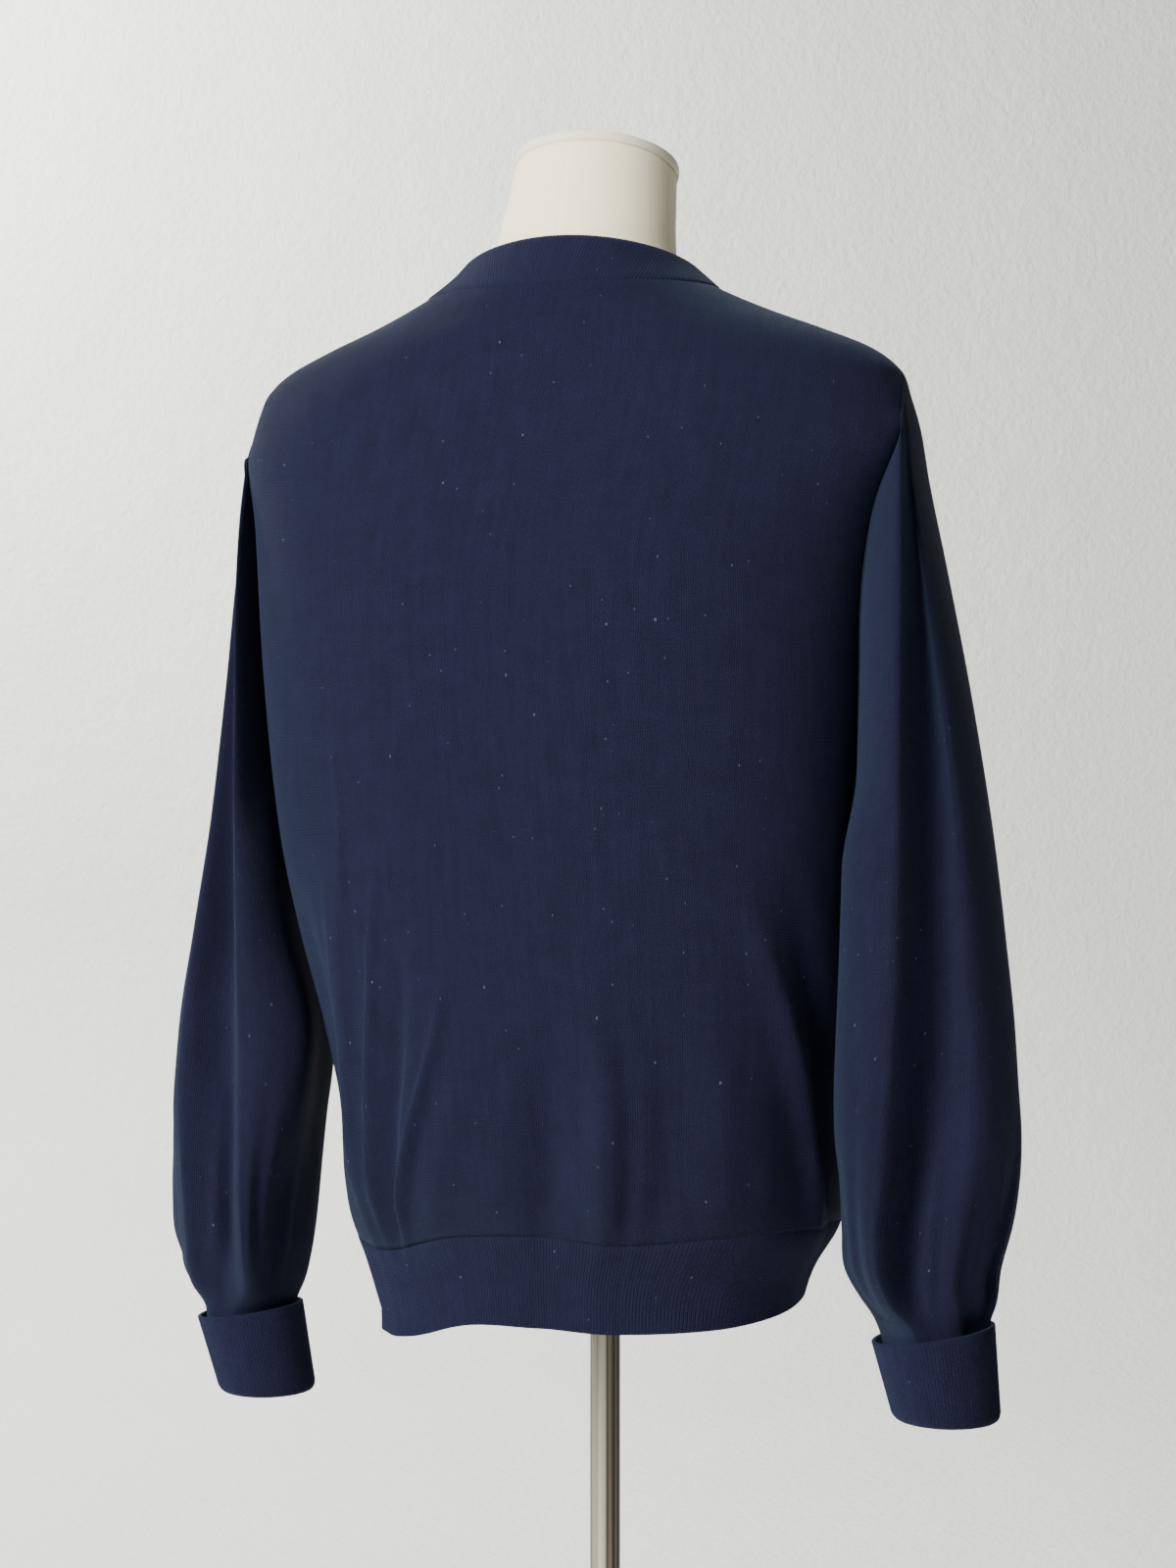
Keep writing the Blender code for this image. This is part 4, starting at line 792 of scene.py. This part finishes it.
def knit(name, ribbed):
    """The wool: rounded wales of slanted legs in navy, with heather, painted shade in its grooves and
    a soft nap.
    """
    wool = Finish(name, {"Sheen Weight": 0.07, "Sheen Roughness": 0.32,
                         "Sheen Tint": (0.22, 0.45, 0.75, 1), "Specular IOR Level": 0.12,
                         "Roughness": 0.9})
    uv = wool.node("ShaderNodeUVMap", {"uv_map": "stitches"}, {})
    wander = wool.noise(wool.stretch(uv, (0.35, 0.35, 1)), 1.0, 2.0) * WALE_WANDER
    wale = wool.split(uv, 0) + wander
    course = wool.split(uv, 1) + wander * COURSE_WANDER
    side = wool.sum("ABSOLUTE", wool.sum("FRACT", wale) * 2.0 - 1.0)
    leg = wool.sum("SINE", wool.sum("FRACT", wale * 2.0) * math.pi)
    strand = wool.sum("SINE", (course - side * LEG_SLANT) * (2 * math.pi))
    fibre = wool.noise(wool.stretch(uv, (1.7, 1.5, 1)), 1.0, 3.0, 0.7)
    streak = wool.noise(wool.stretch(uv, (0.42, 0.035, 1)), 1.0, 2.0, 0.6)
    heather = wool.noise(wool.stretch(uv, (0.09, 0.13, 1)), 1.0, 4.0, 0.65)
    # The ridge and stitch terms paint shade into the colour: darker in the grooves between ribs and
    # legs, lighter on their tops.
    stitch = leg * (0.42 if ribbed else 0.6) + (strand * 0.5 + 0.5) * 0.4
    ridge = (1.0 - side) if ribbed else leg
    tone = (ridge * 0.36 + stitch * 0.30 + fibre * 0.95 + streak * 0.30 + heather * 0.30
            - (RIB_SHADE if ribbed else PLAIN_SHADE))
    speck = wool.noise(wool.stretch(uv, (0.8, 0.5, 1)), 1.0, 0.0)
    lint = wool.sum("GREATER_THAN", speck, LINT_ABOVE)
    return wool.shade(
        colour=wool.blend(lint, wool.blend(tone, NAVY_DARK, NAVY_LIGHT), LINT),
        roughness=0.98 - fibre * 0.12,
        normal=wool.bump(stitch * 0.6 + fibre * 0.9 + streak * 0.5, 0.0009, 0.8))


KNIT = knit("navy knit", False)
NAP_GRIDS = []


def nap_over(points, flip=False):
    """Keep a grid of cloth, with its rough area, for the fibres that stand on it."""
    width = np.linalg.norm(np.diff(points, axis=0), axis=-1).sum(axis=0).mean()
    height = np.linalg.norm(np.diff(points, axis=1), axis=-1).sum(axis=1).mean()
    NAP_GRIDS.append((points, flip, width * height))


def cloth(name, points, uv, material, nodes, join=False, flip=False):
    """A shell of cloth whose outer face is the grid of points."""
    nap_over(points, flip)
    piece = new_object(name, grid_mesh(name, points, uv, join, flip), material, "navy_knit", *nodes)
    wall = piece.modifiers.new("wall", "SOLIDIFY")
    wall.thickness = WALL
    wall.offset = -1
    wall.use_quality_normals = True
    return piece


def panel(start_of, end_of, foot, end, columns):
    """Body cloth between two edges that depend on height, columns by rows."""
    share = np.linspace(0, 1, columns)
    z = body_heights(foot + (end - foot) * share)
    angle = start_of(z) + (end_of(z) - start_of(z)) * share[:, None]
    return stack(*body_point(angle, z), z)


BACK_COLUMNS = 170
points = panel(lambda z: seam_angles(z)[0] + edge_turn(z),
               lambda z: seam_angles(z)[1] - edge_turn(z), 0.0, math.pi, BACK_COLUMNS)
points = tuck(tuck(points, 0, True), 0, False)
back = cloth("back_panel", points, stitches(points, BACK_COLUMNS // 2), KNIT, ["back"])


# The fronts: two panels of the same knit, from the side seams to the front band, cut away along
# the V. The wearer's right front is tucked in a little, to pass under the left band.
V_POINT_Z = 1.185
LAP_GAP = 0.0009
UNDER_LAP_SIDEWAYS = (0.016, 0.045)
UNDER_LAP_ABOVE_V = (0.065, 0.12)
V_SEAM = ((0.0150, V_POINT_Z), (0.0330, 1.240), (0.0520, 1.300), (0.0690, 1.355),
          (0.0820, 1.405), (0.0885, NECK_SEAM_Z))
FRONT_COLUMNS = 86
CAD_WALL = 0.0022


def front_angle(x, z):
    """The body's angle at which its front lies at X, found by halving."""
    low = np.full(np.broadcast(x, z).shape, math.pi + 0.02)
    high = np.full(low.shape, 2 * math.pi - 0.02)
    for _ in range(28):
        middle = (low + high) / 2
        left_of = body_point(middle, z)[0] < x
        low, high = np.where(left_of, middle, low), np.where(left_of, high, middle)
    return (low + high) / 2


def front_middle(z):
    """The X of the garment's middle line down its front."""
    return column(BODY, "middle", z)


def seam_x(z):
    """The front band's seam, as a distance from the garment's middle line."""
    xs, heights = zip(*V_SEAM)
    return np.where(z < V_POINT_Z, xs[0], smooth(heights, xs, z))


def under_lap(x, z):
    """How far the wearer's right side is tucked in, to pass under the left band."""
    aside = rise(*UNDER_LAP_SIDEWAYS, np.abs(x - front_middle(z)))
    above = rise(*UNDER_LAP_ABOVE_V, z - V_POINT_Z)
    return (1 - aside) * (1 - above) * (CAD_WALL + LAP_GAP)


for name, node, side in (("left_front_panel", "left_front", 1),
                         ("right_front_panel", "right_front", -1)):
    edge = 2 if side > 0 else 3
    foot = 2 * math.pi if side > 0 else math.pi
    points = panel(lambda z: seam_angles(z)[edge] - side * edge_turn(z),
                   lambda z: front_angle(front_middle(z) + side * (seam_x(z) + SEAM_GAP), z),
                   foot, 1.5 * math.pi, FRONT_COLUMNS)
    if side < 0:
        points[..., 1] += under_lap(points[..., 0], points[..., 2])
    points = tuck(points, 0, True, flip=side > 0)
    front = cloth(name, points, stitches(points, 1), KNIT, [node], flip=side > 0)


# The sleeves: two long tubes of the same knit, narrowed to the wrist and linked into the armholes.
# They hang empty, with a sharp ridge at the back, and gather in folds above the cuffs.
Cuff = namedtuple("Cuff", "foot head foot_z head_z tilt")
CuffRow = namedtuple("CuffRow", "x y half_x half_y")
LEFT_CUFF = Cuff(CuffRow(0.2110, 0.045, 0.0300, 0.0300), CuffRow(0.2236, 0.045, 0.0330, 0.0330),
                 0.7665, 0.817, -0.15)
RIGHT_CUFF = Cuff(CuffRow(-0.2250, 0.045, 0.0310, 0.0310), CuffRow(-0.2169, 0.045, 0.0355, 0.0345),
                  0.7825, 0.832, -0.17)
CUFF_COVERS_SEAM = 0.014
SLEEVE_CLEARANCE = 0.0012
SLEEVE_SEAM_GAP = 0.0007
SLEEVE_LINES = np.linspace(0, 1, 190)
SLEEVE_COLUMNS = 62


def cuff_height(cuff, x, up):
    """The height of a point of a cuff, up from its fold: the head is tilted across."""
    share = up / (cuff.head_z - cuff.foot_z)
    middle = cuff.foot.x + (cuff.head.x - cuff.foot.x) * share
    return cuff.foot_z + up + cuff.tilt * (x - middle) * share


for name, node, table, armhole, cuff in (
        ("left_sleeve_cloth", "left_sleeve", LEFT_SLEEVE, LEFT_ARMHOLE, LEFT_CUFF),
        ("right_sleeve_cloth", "right_sleeve", RIGHT_SLEEVE, RIGHT_ARMHOLE, RIGHT_CUFF)):
    z = refine(ARMHOLE_ROWS, SLEEVE_COLUMNS)
    places = np.concatenate([armhole.places("back", z[::-1]), armhole.places("front", z)[1:]])
    starts = np.concatenate([z[::-1], z[1:]])
    end = np.full(len(places), cuff.head_z - CUFF_COVERS_SEAM)
    for _ in range(3):
        x = sleeve_point(table, armhole.side, places, end)[0]
        end = cuff_height(cuff, x, cuff.head_z - cuff.foot_z - CUFF_COVERS_SEAM)
    height = starts[:, None] + (end - starts)[:, None] * SLEEVE_LINES
    points = stack(*sleeve_point(table, armhole.side, places[:, None], height), height)
    along = points[:, 1] - points[:, 0]
    points[:, 0] += SEAM_GAP * along / np.linalg.norm(along, axis=1)[:, None]
    beside_body = SLEEVE_CLEARANCE * np.exp(-((places[:, None] - INNER) / 0.10) ** 2)
    beside_body = beside_body * (SLEEVE_LINES > 0) + SLEEVE_SEAM_GAP
    points[..., 0] += armhole.side * beside_body * (1 - rise(0.5, 0.9, SLEEVE_LINES))
    points[-1] = points[0]
    points = tuck(points, 1, True, flip=armhole.side > 0)
    points[-1] = points[0]
    uv = np.stack(np.broadcast_arrays(places[:, None] * SLEEVE_ROUND / WALE,
                                      -lengths(points, 1) / COURSE), axis=-1)
    sleeve = cloth(name, points, uv, KNIT, [node], join=True, flip=armhole.side > 0)


# The cuffs: two rib tubes, linked to the sleeves' ends and turned back on themselves once, so that
# each shows a fold at its foot and a free edge at its head.
CUFF_WALL = 0.0022
CUFF_WALL_GAP = 0.0008
CUFF_FOLD_TOP = 0.004
CUFF_EDGE_EASE = 0.0006
CUFF_BETWEEN_FOOT = 0.0036
CUFF_RIBS = 104
COLUMNS_PER_RIB = 6
CUFF_RIB_HEIGHT = 0.00035

RIB_KNIT = knit("navy rib", True)


def rib(turns):
    """A rib's height from 0 to 1, for a number of ribs from the first."""
    return (0.5 + 0.5 * np.cos(2 * math.pi * turns)) ** 0.7


for name, node, cuff in (("left_cuff_rib", "left_cuff", LEFT_CUFF),
                         ("right_cuff_rib", "right_cuff", RIGHT_CUFF)):
    turn = np.linspace(0, 2 * math.pi, CUFF_RIBS * COLUMNS_PER_RIB + 1)[:, None]
    double = 2 * CUFF_WALL + CUFF_WALL_GAP
    between = CUFF_WALL + CUFF_WALL_GAP
    head = cuff.head_z - cuff.foot_z
    inner_head = head - CUFF_COVERS_SEAM - SEAM_GAP
    outer_rise = [(0.0, up) for up in np.linspace(CUFF_FOLD_TOP, head - CUFF_EDGE_EASE, 16)]
    free_edge = [(CUFF_EDGE_EASE, head), (CUFF_WALL - CUFF_EDGE_EASE, head),
                 (CUFF_WALL, head - CUFF_EDGE_EASE)]
    inner_fall = [(CUFF_WALL, up) for up in np.linspace(0.7 * head, CUFF_BETWEEN_FOOT, 4)]
    hidden = [(between, CUFF_BETWEEN_FOOT), (between, 0.5 * inner_head), (between, inner_head)]
    lining = [(double, inner_head), (double, 0.5 * inner_head), (double, CUFF_FOLD_TOP)]
    fold = [(double / 2 + double / 2 * math.cos(t), CUFF_FOLD_TOP * (1 - math.sin(t)))
            for t in np.linspace(0.25, math.pi - 0.25, 9)]
    profile = outer_rise + free_edge + inner_fall + hidden + lining + fold
    inset, up = np.array(profile).T[:, None, :]
    share = up / head
    ribs = rib(turn / (2 * math.pi) * CUFF_RIBS) * CUFF_RIB_HEIGHT
    shows = np.array([1.0] * len(outer_rise) + [0.6, 0.2, 0] + [0] * 10 + [0.5] * 9)[None, :]
    inset = inset - ribs * shows[:, :inset.shape[1]]
    half_x = cuff.foot.half_x + (cuff.head.half_x - cuff.foot.half_x) * share - inset
    half_y = cuff.foot.half_y + (cuff.head.half_y - cuff.foot.half_y) * share - inset
    x = cuff.foot.x + (cuff.head.x - cuff.foot.x) * share + half_x * np.cos(turn)
    y = cuff.foot.y + (cuff.head.y - cuff.foot.y) * share + half_y * np.sin(turn)
    points = stack(x, y, cuff_height(cuff, x, up))
    points = np.concatenate([points, points[:, :1]], axis=1)
    uv = np.stack(np.broadcast_arrays(turn / (2 * math.pi) * CUFF_RIBS,
                                      lengths(points, 1) / COURSE), axis=-1)
    nap_over(points[:, :len(outer_rise)])
    mesh = grid_mesh(name, points, uv, join=True)
    cuff_piece = new_object(name, mesh, RIB_KNIT, "navy_rib", node)


# The hem: one rib strip, linked to the foot of the back and both fronts. It draws the body in, and
# ends at the front band on each side.
HEM_FOOT = ((0, 0.8065), (35, 0.813), (60, 0.826), (90, 0.828), (120, 0.827), (150, 0.829),
            (180, 0.834), (230, 0.838), (270, 0.830), (310, 0.818), (360, 0.8065))
HEM_RIBS = 330
HEM_RIB_HEIGHT = 0.0004

share = np.linspace(0, 1, HEM_RIBS * COLUMNS_PER_RIB + 1)
angle = -math.pi / 2 + 2 * math.pi * share
degrees, heights = zip(*HEM_FOOT)
low = smooth(degrees, heights, np.degrees(angle) % 360)
high = hem_seam_z(angle) - SEAM_GAP
up = np.array((0.0, 0.012, 0.10, 0.22, 0.35, 0.5, 0.65, 0.80, 0.92, 1.0))
z = low[:, None] + (high - low)[:, None] * up
start = front_angle(front_middle(z) + seam_x(z) + SEAM_GAP, z) - 2 * math.pi
end = front_angle(front_middle(z) - seam_x(z) - SEAM_GAP, z)
x, y = body_point(start + (end - start) * share[:, None], z)
y = y + under_lap(x, z) * (share[:, None] > 0.5) * (y < 0)
points = stack(x, y, z)
points += outward(points) * (rib(share * HEM_RIBS)[:, None] * HEM_RIB_HEIGHT)[..., None]
points = tuck(points, 1, False)
uv = np.stack(np.broadcast_arrays((share * HEM_RIBS)[:, None], lengths(points, 1) / COURSE),
              axis=-1)
hem = cloth("hem_rib", points, uv, RIB_KNIT, ["hem_band"])


# The front band: one long rib strip, linked up one front, round the back of the neck and down the
# other. Its ribs run across it, and the left side laps over the right.
BandRow = namedtuple("BandRow", "z across up")
BAND = (
    BandRow(0.800, 0.0298, 0.0000),
    BandRow(1.165, 0.0298, 0.0000),
    BandRow(1.205, 0.0288, 0.0085),
    BandRow(1.360, 0.0285, 0.0092),
    BandRow(1.410, 0.0240, 0.0130),
    BandRow(NECK_SEAM_Z, 0.0180, 0.0165),
)
BAND_SEAM_GAP = 0.0004
NECK_SEAM_GAP = 0.0008
BAND_MEETS_NECK = (1.36, NECK_SEAM_Z)
BAND_ROWS = (dict(HEM_FOOT)[270], 0.845, 0.86, 0.873, 0.884, 0.896, 0.910, 0.93, 0.98, 1.03, 1.08,
             1.13, 1.165, V_POINT_Z, 1.205, 1.24, 1.28, 1.32, 1.355, 1.38, 1.405, 1.425, 1.438)
BAND_ACROSS = np.linspace(0, 1, 9)
BAND_RIB_WIDTH = 0.00195
BAND_RIB_HEIGHT = 0.0003
BAND_COLUMNS_PER_RIB = 5
NeckEdge = namedtuple("NeckEdge", "x y side back front side_z back_z")
NECK_EDGE = NeckEdge(0.006, 0.033, 0.0745, 0.0475, 0.050, 1.4630, 1.4770)


def neck_edge_point(angle):
    """The band's free edge round the neck."""
    reach = np.where(np.sin(angle) > 0, NECK_EDGE.back, NECK_EDGE.front)
    lift = np.clip(np.sin(angle), 0, 1) ** 1.5
    return (NECK_EDGE.x + NECK_EDGE.side * np.cos(angle), NECK_EDGE.y + reach * np.sin(angle),
            NECK_EDGE.side_z + (NECK_EDGE.back_z - NECK_EDGE.side_z) * lift)


neck_start = front_angle(front_middle(NECK_SEAM_Z) + seam_x(NECK_SEAM_Z), NECK_SEAM_Z)


def band_side(side):
    """The band up one front, rows from the foot to the neck by places from seam to free edge."""
    height = refine(BAND_ROWS, 90)[:, None]
    lean = neck_edge_point(neck_start)[1] - body_point(neck_start, NECK_SEAM_Z)[1]
    off = seam_x(height) - BAND_SEAM_GAP - column(BAND, "across", height) * BAND_ACROSS
    z = height + column(BAND, "up", height) * BAND_ACROSS
    x = front_middle(height) + side * off
    y = body_point(front_angle(x, z), z)[1]
    y = y + (y[:, :1] + lean * BAND_ACROSS - y) * rise(*BAND_MEETS_NECK, height)
    if side < 0:
        y = y + under_lap(x, z)
    return stack(x, y, z)


angle = np.linspace(neck_start - 2 * math.pi, 3 * math.pi - neck_start, 97)[:, None]
seam = stack(*body_point(angle, NECK_SEAM_Z), NECK_SEAM_Z + NECK_SEAM_GAP)
around_neck = seam + (stack(*neck_edge_point(angle)) - seam) * BAND_ACROSS[:, None]
strip = np.concatenate([band_side(1), around_neck, band_side(-1)[::-1]])
along = lengths(strip, 0).mean(axis=1)
band_ribs = round(along[-1] / BAND_RIB_WIDTH)
fine = np.linspace(0, along[-1], band_ribs * BAND_COLUMNS_PER_RIB + 1)
points = np.stack([np.stack([np.interp(fine, along, strip[:, i, k]) for k in range(3)], axis=-1)
                   for i in range(len(BAND_ACROSS))], axis=1)
ribs = rib(fine / BAND_RIB_WIDTH)[:, None, None] * BAND_RIB_HEIGHT
points += outward(points) * ribs
points = tuck(points, 1, True)
uv = np.stack(np.broadcast_arrays((fine / BAND_RIB_WIDTH)[:, None],
                                  lengths(points, 1) / COURSE), axis=-1)
band = cloth("front_band_rib", points, uv, RIB_KNIT, ["front_band"])


# The buttons: six dark discs with a dished face and four holes, sewn on the left band with navy
# thread. Each is turned from cast resin and polished.
horn = Finish("dark button", {"Coat Weight": 0.12, "Coat Roughness": 0.25})
spot = horn.place()
cloud = horn.noise(horn.stretch(spot, (160, 160, 420)), 1.0, 5.0)
horn_finish = horn.shade(
    colour=horn.blend(cloud, (0.004, 0.005, 0.010, 1), (0.018, 0.018, 0.030, 1)),
    roughness=cloud * 0.12 + 0.42,
    normal=horn.bump(cloud, 0.00005, 0.3))

thread = Finish("sewing thread", {"Sheen Weight": 0.2, "Roughness": 0.8})
twist = thread.noise(thread.stretch(thread.place(), (2600, 2600, 900)), 1.0, 2.0)
thread_finish = thread.shade(colour=thread.blend(twist, (0.004, 0.005, 0.014, 1),
                                                 (0.030, 0.034, 0.075, 1)),
                             roughness=0.85 - twist * 0.15,
                             normal=thread.bump(twist, 0.0002, 0.6))

HOLE_APART = 0.0019
HOLE_RADIUS = 0.0010
HOLES = [(across, up) for across in (-HOLE_APART, HOLE_APART) for up in (-HOLE_APART, HOLE_APART)]
THREAD_RADIUS = 0.00042
THREAD_FLATTENED = 0.55
THREAD_SUNK = 1.4
RIM_ROUND = 0.0009
BUTTON_COUNT = 6
BUTTON_RADIUS = 0.0095
BUTTON_THICKNESS = 0.0035
RIM_WIDTH = 0.0016
DISH_DEPTH = 0.0006
for number in range(1, BUTTON_COUNT + 1):
    low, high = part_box(f"button_{number}")
    corners = np.array([v.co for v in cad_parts[f"button_{number}"].data.vertices])
    middle = Vector((low + high) / 2)
    spread = np.linalg.svd(corners - corners.mean(axis=0))[2][2]
    face = Vector(spread if spread[1] < 0 else -spread)
    half = BUTTON_THICKNESS / 2
    outline = [(0.0, half - DISH_DEPTH), (BUTTON_RADIUS - RIM_WIDTH * 1.6, half - DISH_DEPTH),
               (BUTTON_RADIUS - RIM_WIDTH, half - DISH_DEPTH * 0.2),
               *arc((BUTTON_RADIUS - RIM_ROUND, half - RIM_ROUND), RIM_ROUND, 90, 0, 6),
               *arc((BUTTON_RADIUS - RIM_ROUND, -half + RIM_ROUND), RIM_ROUND, 0, -90, 6),
               (0.0, -half)]
    place = Matrix.Translation(middle) @ face.to_track_quat("Z", "Y").to_matrix().to_4x4()
    button = turned(f"button_{number}_face", outline, horn_finish, "dark_button",
                    f"button_{number}", steps=48, place=place)
    drills = bmesh.new()
    for across, up in HOLES:
        bmesh.ops.create_cone(drills, segments=16, radius1=HOLE_RADIUS, radius2=HOLE_RADIUS,
                              depth=4 * BUTTON_THICKNESS, cap_ends=True,
                              matrix=place @ Matrix.Translation((across, up, 0)))
    drill = placed("drills", mesh_of(drills, "drills"))
    button.modifiers.new("holes", "BOOLEAN").object = drill
    button.data = applied(button)
    bpy.data.objects.remove(drill)

    loops = bmesh.new()
    for across in (-HOLE_APART, HOLE_APART):
        for aside in (-THREAD_RADIUS, THREAD_RADIUS):
            ring = bmesh.ops.create_circle(loops, segments=8, radius=THREAD_RADIUS,
                                           matrix=Matrix.Translation((across + aside,
                                                                      HOLE_APART, 0)))["verts"]
            rim = list({edge for corner in ring for edge in corner.link_edges})
            bmesh.ops.spin(loops, geom=ring + rim, cent=(across + aside, 0, 0), axis=(1, 0, 0),
                           angle=math.pi, steps=10)
    bmesh.ops.scale(loops, vec=(1, 1, THREAD_FLATTENED), verts=loops.verts)
    on_dish = Matrix.Translation((0, 0, half - THREAD_SUNK * DISH_DEPTH))
    bmesh.ops.transform(loops, matrix=place @ on_dish, verts=loops.verts)
    bmesh.ops.holes_fill(loops, edges=loops.edges)
    bmesh.ops.recalc_face_normals(loops, faces=loops.faces)
    thread_mesh = mesh_of(loops, f"button_{number}_thread")
    thread_mesh.shade_smooth()
    new_object(f"button_{number}_thread", thread_mesh, thread_finish, "navy_knit")


# The nap: loose wool fibres that stand off the knit all over and soften its outline. Each is a
# thin spike, rooted in the cloth and leaning at its own angle.
NAP_COUNT = 21000
NAP_LENGTH = (0.0012, 0.0034)
NAP_RADIUS = 0.00006
NAP_LEAN = 0.9
NAP_STANDS_OUT = 0.3

nap_wool = Finish("wool nap", {"Sheen Weight": 0.1, "Roughness": 0.95, "Specular IOR Level": 0.1})
tone = nap_wool.noise(nap_wool.place(), 700.0, 2.0)
nap_finish = nap_wool.shade(colour=nap_wool.blend(tone, (0.004, 0.006, 0.016, 1),
                                                  (0.040, 0.050, 0.095, 1)),
                            roughness=0.98 - tone * 0.1)

chance = np.random.default_rng(7)
roots, leans = [], []
total = sum(size for _, _, size in NAP_GRIDS)
for grid, flip, size in NAP_GRIDS:
    count = int(NAP_COUNT * size / total)
    i = chance.integers(0, grid.shape[0] - 1, count)
    j = chance.integers(0, grid.shape[1] - 1, count)
    u, v = chance.random((2, count, 1))
    lower = grid[i, j] * (1 - u) + grid[i + 1, j] * u
    upper = grid[i, j + 1] * (1 - u) + grid[i + 1, j + 1] * u
    roots.append(lower * (1 - v) + upper * v)
    leans.append(outward(grid, flip)[i, j])
roots, leans = np.concatenate(roots), np.concatenate(leans)
lean = leans + chance.normal(0, NAP_LEAN / 2, leans.shape)
lean /= np.linalg.norm(lean, axis=1, keepdims=True)
side = np.cross(lean, leans + 0.01)
side /= np.maximum(np.linalg.norm(side, axis=1, keepdims=True), 1e-9)
third = np.cross(lean, side)
length = chance.uniform(*NAP_LENGTH, (len(roots), 1))

spike = bmesh.new()
bmesh.ops.create_cone(spike, segments=3, radius1=1.0, radius2=0.0, depth=1.0, cap_ends=True)
bmesh.ops.remove_doubles(spike, verts=spike.verts, dist=1e-4)
spike_mesh = mesh_of(spike, "wool_nap")
nap = new_object("wool_nap", spike_mesh, nap_finish, "navy_knit")
shape = np.array([corner.co for corner in spike_mesh.vertices])
repeat = nap.modifiers.new("fibres", "ARRAY")
repeat.count = len(roots)
repeat.use_merge_vertices = False
many = applied(nap)
corners = (roots[:, None] + side[:, None] * (shape[:, 0, None] * NAP_RADIUS)
           + third[:, None] * (shape[:, 1, None] * NAP_RADIUS)
           + (lean * length)[:, None] * (shape[:, 2, None] + NAP_STANDS_OUT))
many.vertices.foreach_set("co", corners.ravel())
many.update()
nap.data = many


# The stage: a plain pale floor that sweeps up into a far wall, lit by a large soft window at the
# upper left. The wall stands well beyond the garment's front, and has its own lamp.
WALL_DISTANCE = 4.2
FLOOR_REACH = 7.0
SWEEP_RADIUS = 0.9
YAW = math.radians(19)
AHEAD = Vector((math.sin(YAW), -math.cos(YAW), 0))
ACROSS = Vector((-math.cos(YAW), -math.sin(YAW), 0))

plaster = Finish("plain wall", {"Roughness": 0.95})
spot = plaster.place()
pebble = plaster.noise(spot, 68.0, 4.0, 0.6) * 0.6 + plaster.noise(spot, 18.0, 2.0) * 0.5
plaster_finish = plaster.shade(
    colour=plaster.blend(plaster.noise(spot, 3.0), (0.70, 0.705, 0.67, 1), (0.76, 0.765, 0.73, 1)),
    roughness=0.95 - pebble * 0.05,
    normal=plaster.bump(pebble, 0.0100, 0.6))
sweep = bmesh.new()
bmesh.ops.create_grid(sweep, x_segments=1, y_segments=1, size=1.0)
bmesh.ops.scale(sweep, vec=(FLOOR_REACH, (FLOOR_REACH + WALL_DISTANCE) / 2, 1), verts=sweep.verts)
bmesh.ops.translate(sweep, vec=(0, (WALL_DISTANCE - FLOOR_REACH) / 2, 0), verts=sweep.verts)
far = [edge for edge in sweep.edges
       if all(corner.co.y > WALL_DISTANCE - 0.01 for corner in edge.verts)]
wall = bmesh.ops.extrude_edge_only(sweep, edges=far)["geom"]
bmesh.ops.translate(sweep, vec=(0, 0, FLOOR_REACH),
                    verts=[part for part in wall if isinstance(part, bmesh.types.BMVert)])
bmesh.ops.bevel(sweep, geom=far, offset=SWEEP_RADIUS, segments=24, profile=0.5,
                affect="EDGES", material=-1)
turn = Matrix((ACROSS, AHEAD, (0, 0, 1))).transposed().to_4x4()
bmesh.ops.transform(sweep, matrix=turn, verts=sweep.verts)
sweep_mesh = mesh_of(sweep, "studio_floor")
sweep_mesh.shade_smooth()
sweep_mesh.materials.append(plaster_finish)
placed("studio_floor", sweep_mesh)


def soft_light(name, place, target, size, power, colour):
    """A square area light that faces a point."""
    lamp = bpy.data.lights.new(name, "AREA")
    lamp.shape = "SQUARE"
    lamp.size, lamp.energy, lamp.color = size, power, colour
    thing = placed(name, lamp)
    thing.location = place
    thing.rotation_euler = (Vector(target) - Vector(place)).to_track_quat("-Z", "Y").to_euler()


CHEST = Vector((0, 0, 1.15))
soft_light("window", CHEST - AHEAD * 2.1 - ACROSS * 1.85 + Vector((0, 0, 1.25)), CHEST, 1.6, 285,
           (1.0, 0.985, 0.955))
soft_light("room", CHEST + AHEAD * 2.2 + ACROSS * 0.4 + Vector((0, 0, 2.2)), CHEST, 1.5, 60,
           (0.95, 0.98, 1.0))
WALL_FOOT = CHEST + AHEAD * WALL_DISTANCE
soft_light("wall_lamp", WALL_FOOT - AHEAD * 1.7 - ACROSS * 2.5 + Vector((0, 0, 2.2)),
           WALL_FOOT + Vector((0, 0, 0.2)), 1.6, 300, (1.0, 0.99, 0.97))

world = bpy.data.worlds.new("pale room")
world.use_nodes = True
world.node_tree.nodes["Background"].inputs["Color"].default_value = (0.92, 0.94, 0.95, 1)
world.node_tree.nodes["Background"].inputs["Strength"].default_value = 0.19
bpy.context.scene.world = world

# The camera stands level behind the garment, turned as in the photograph, a little off the axis.
EYE_HEIGHT = 1.15
EYE_DISTANCE = 1.6
AXIS_PIXEL, MIDDLE_PIXEL, LONG_SIDE = 617.5, 600.0, 1600.0
lens = bpy.data.cameras.new("camera")
lens.sensor_width = 36.0
lens.lens = 58.75
lens.shift_x = (MIDDLE_PIXEL - AXIS_PIXEL) / LONG_SIDE
camera = placed("camera", lens)
camera.location = -AHEAD * EYE_DISTANCE + Vector((0, 0, EYE_HEIGHT))
camera.rotation_euler = AHEAD.to_track_quat("-Z", "Y").to_euler()
bpy.context.scene.camera = camera
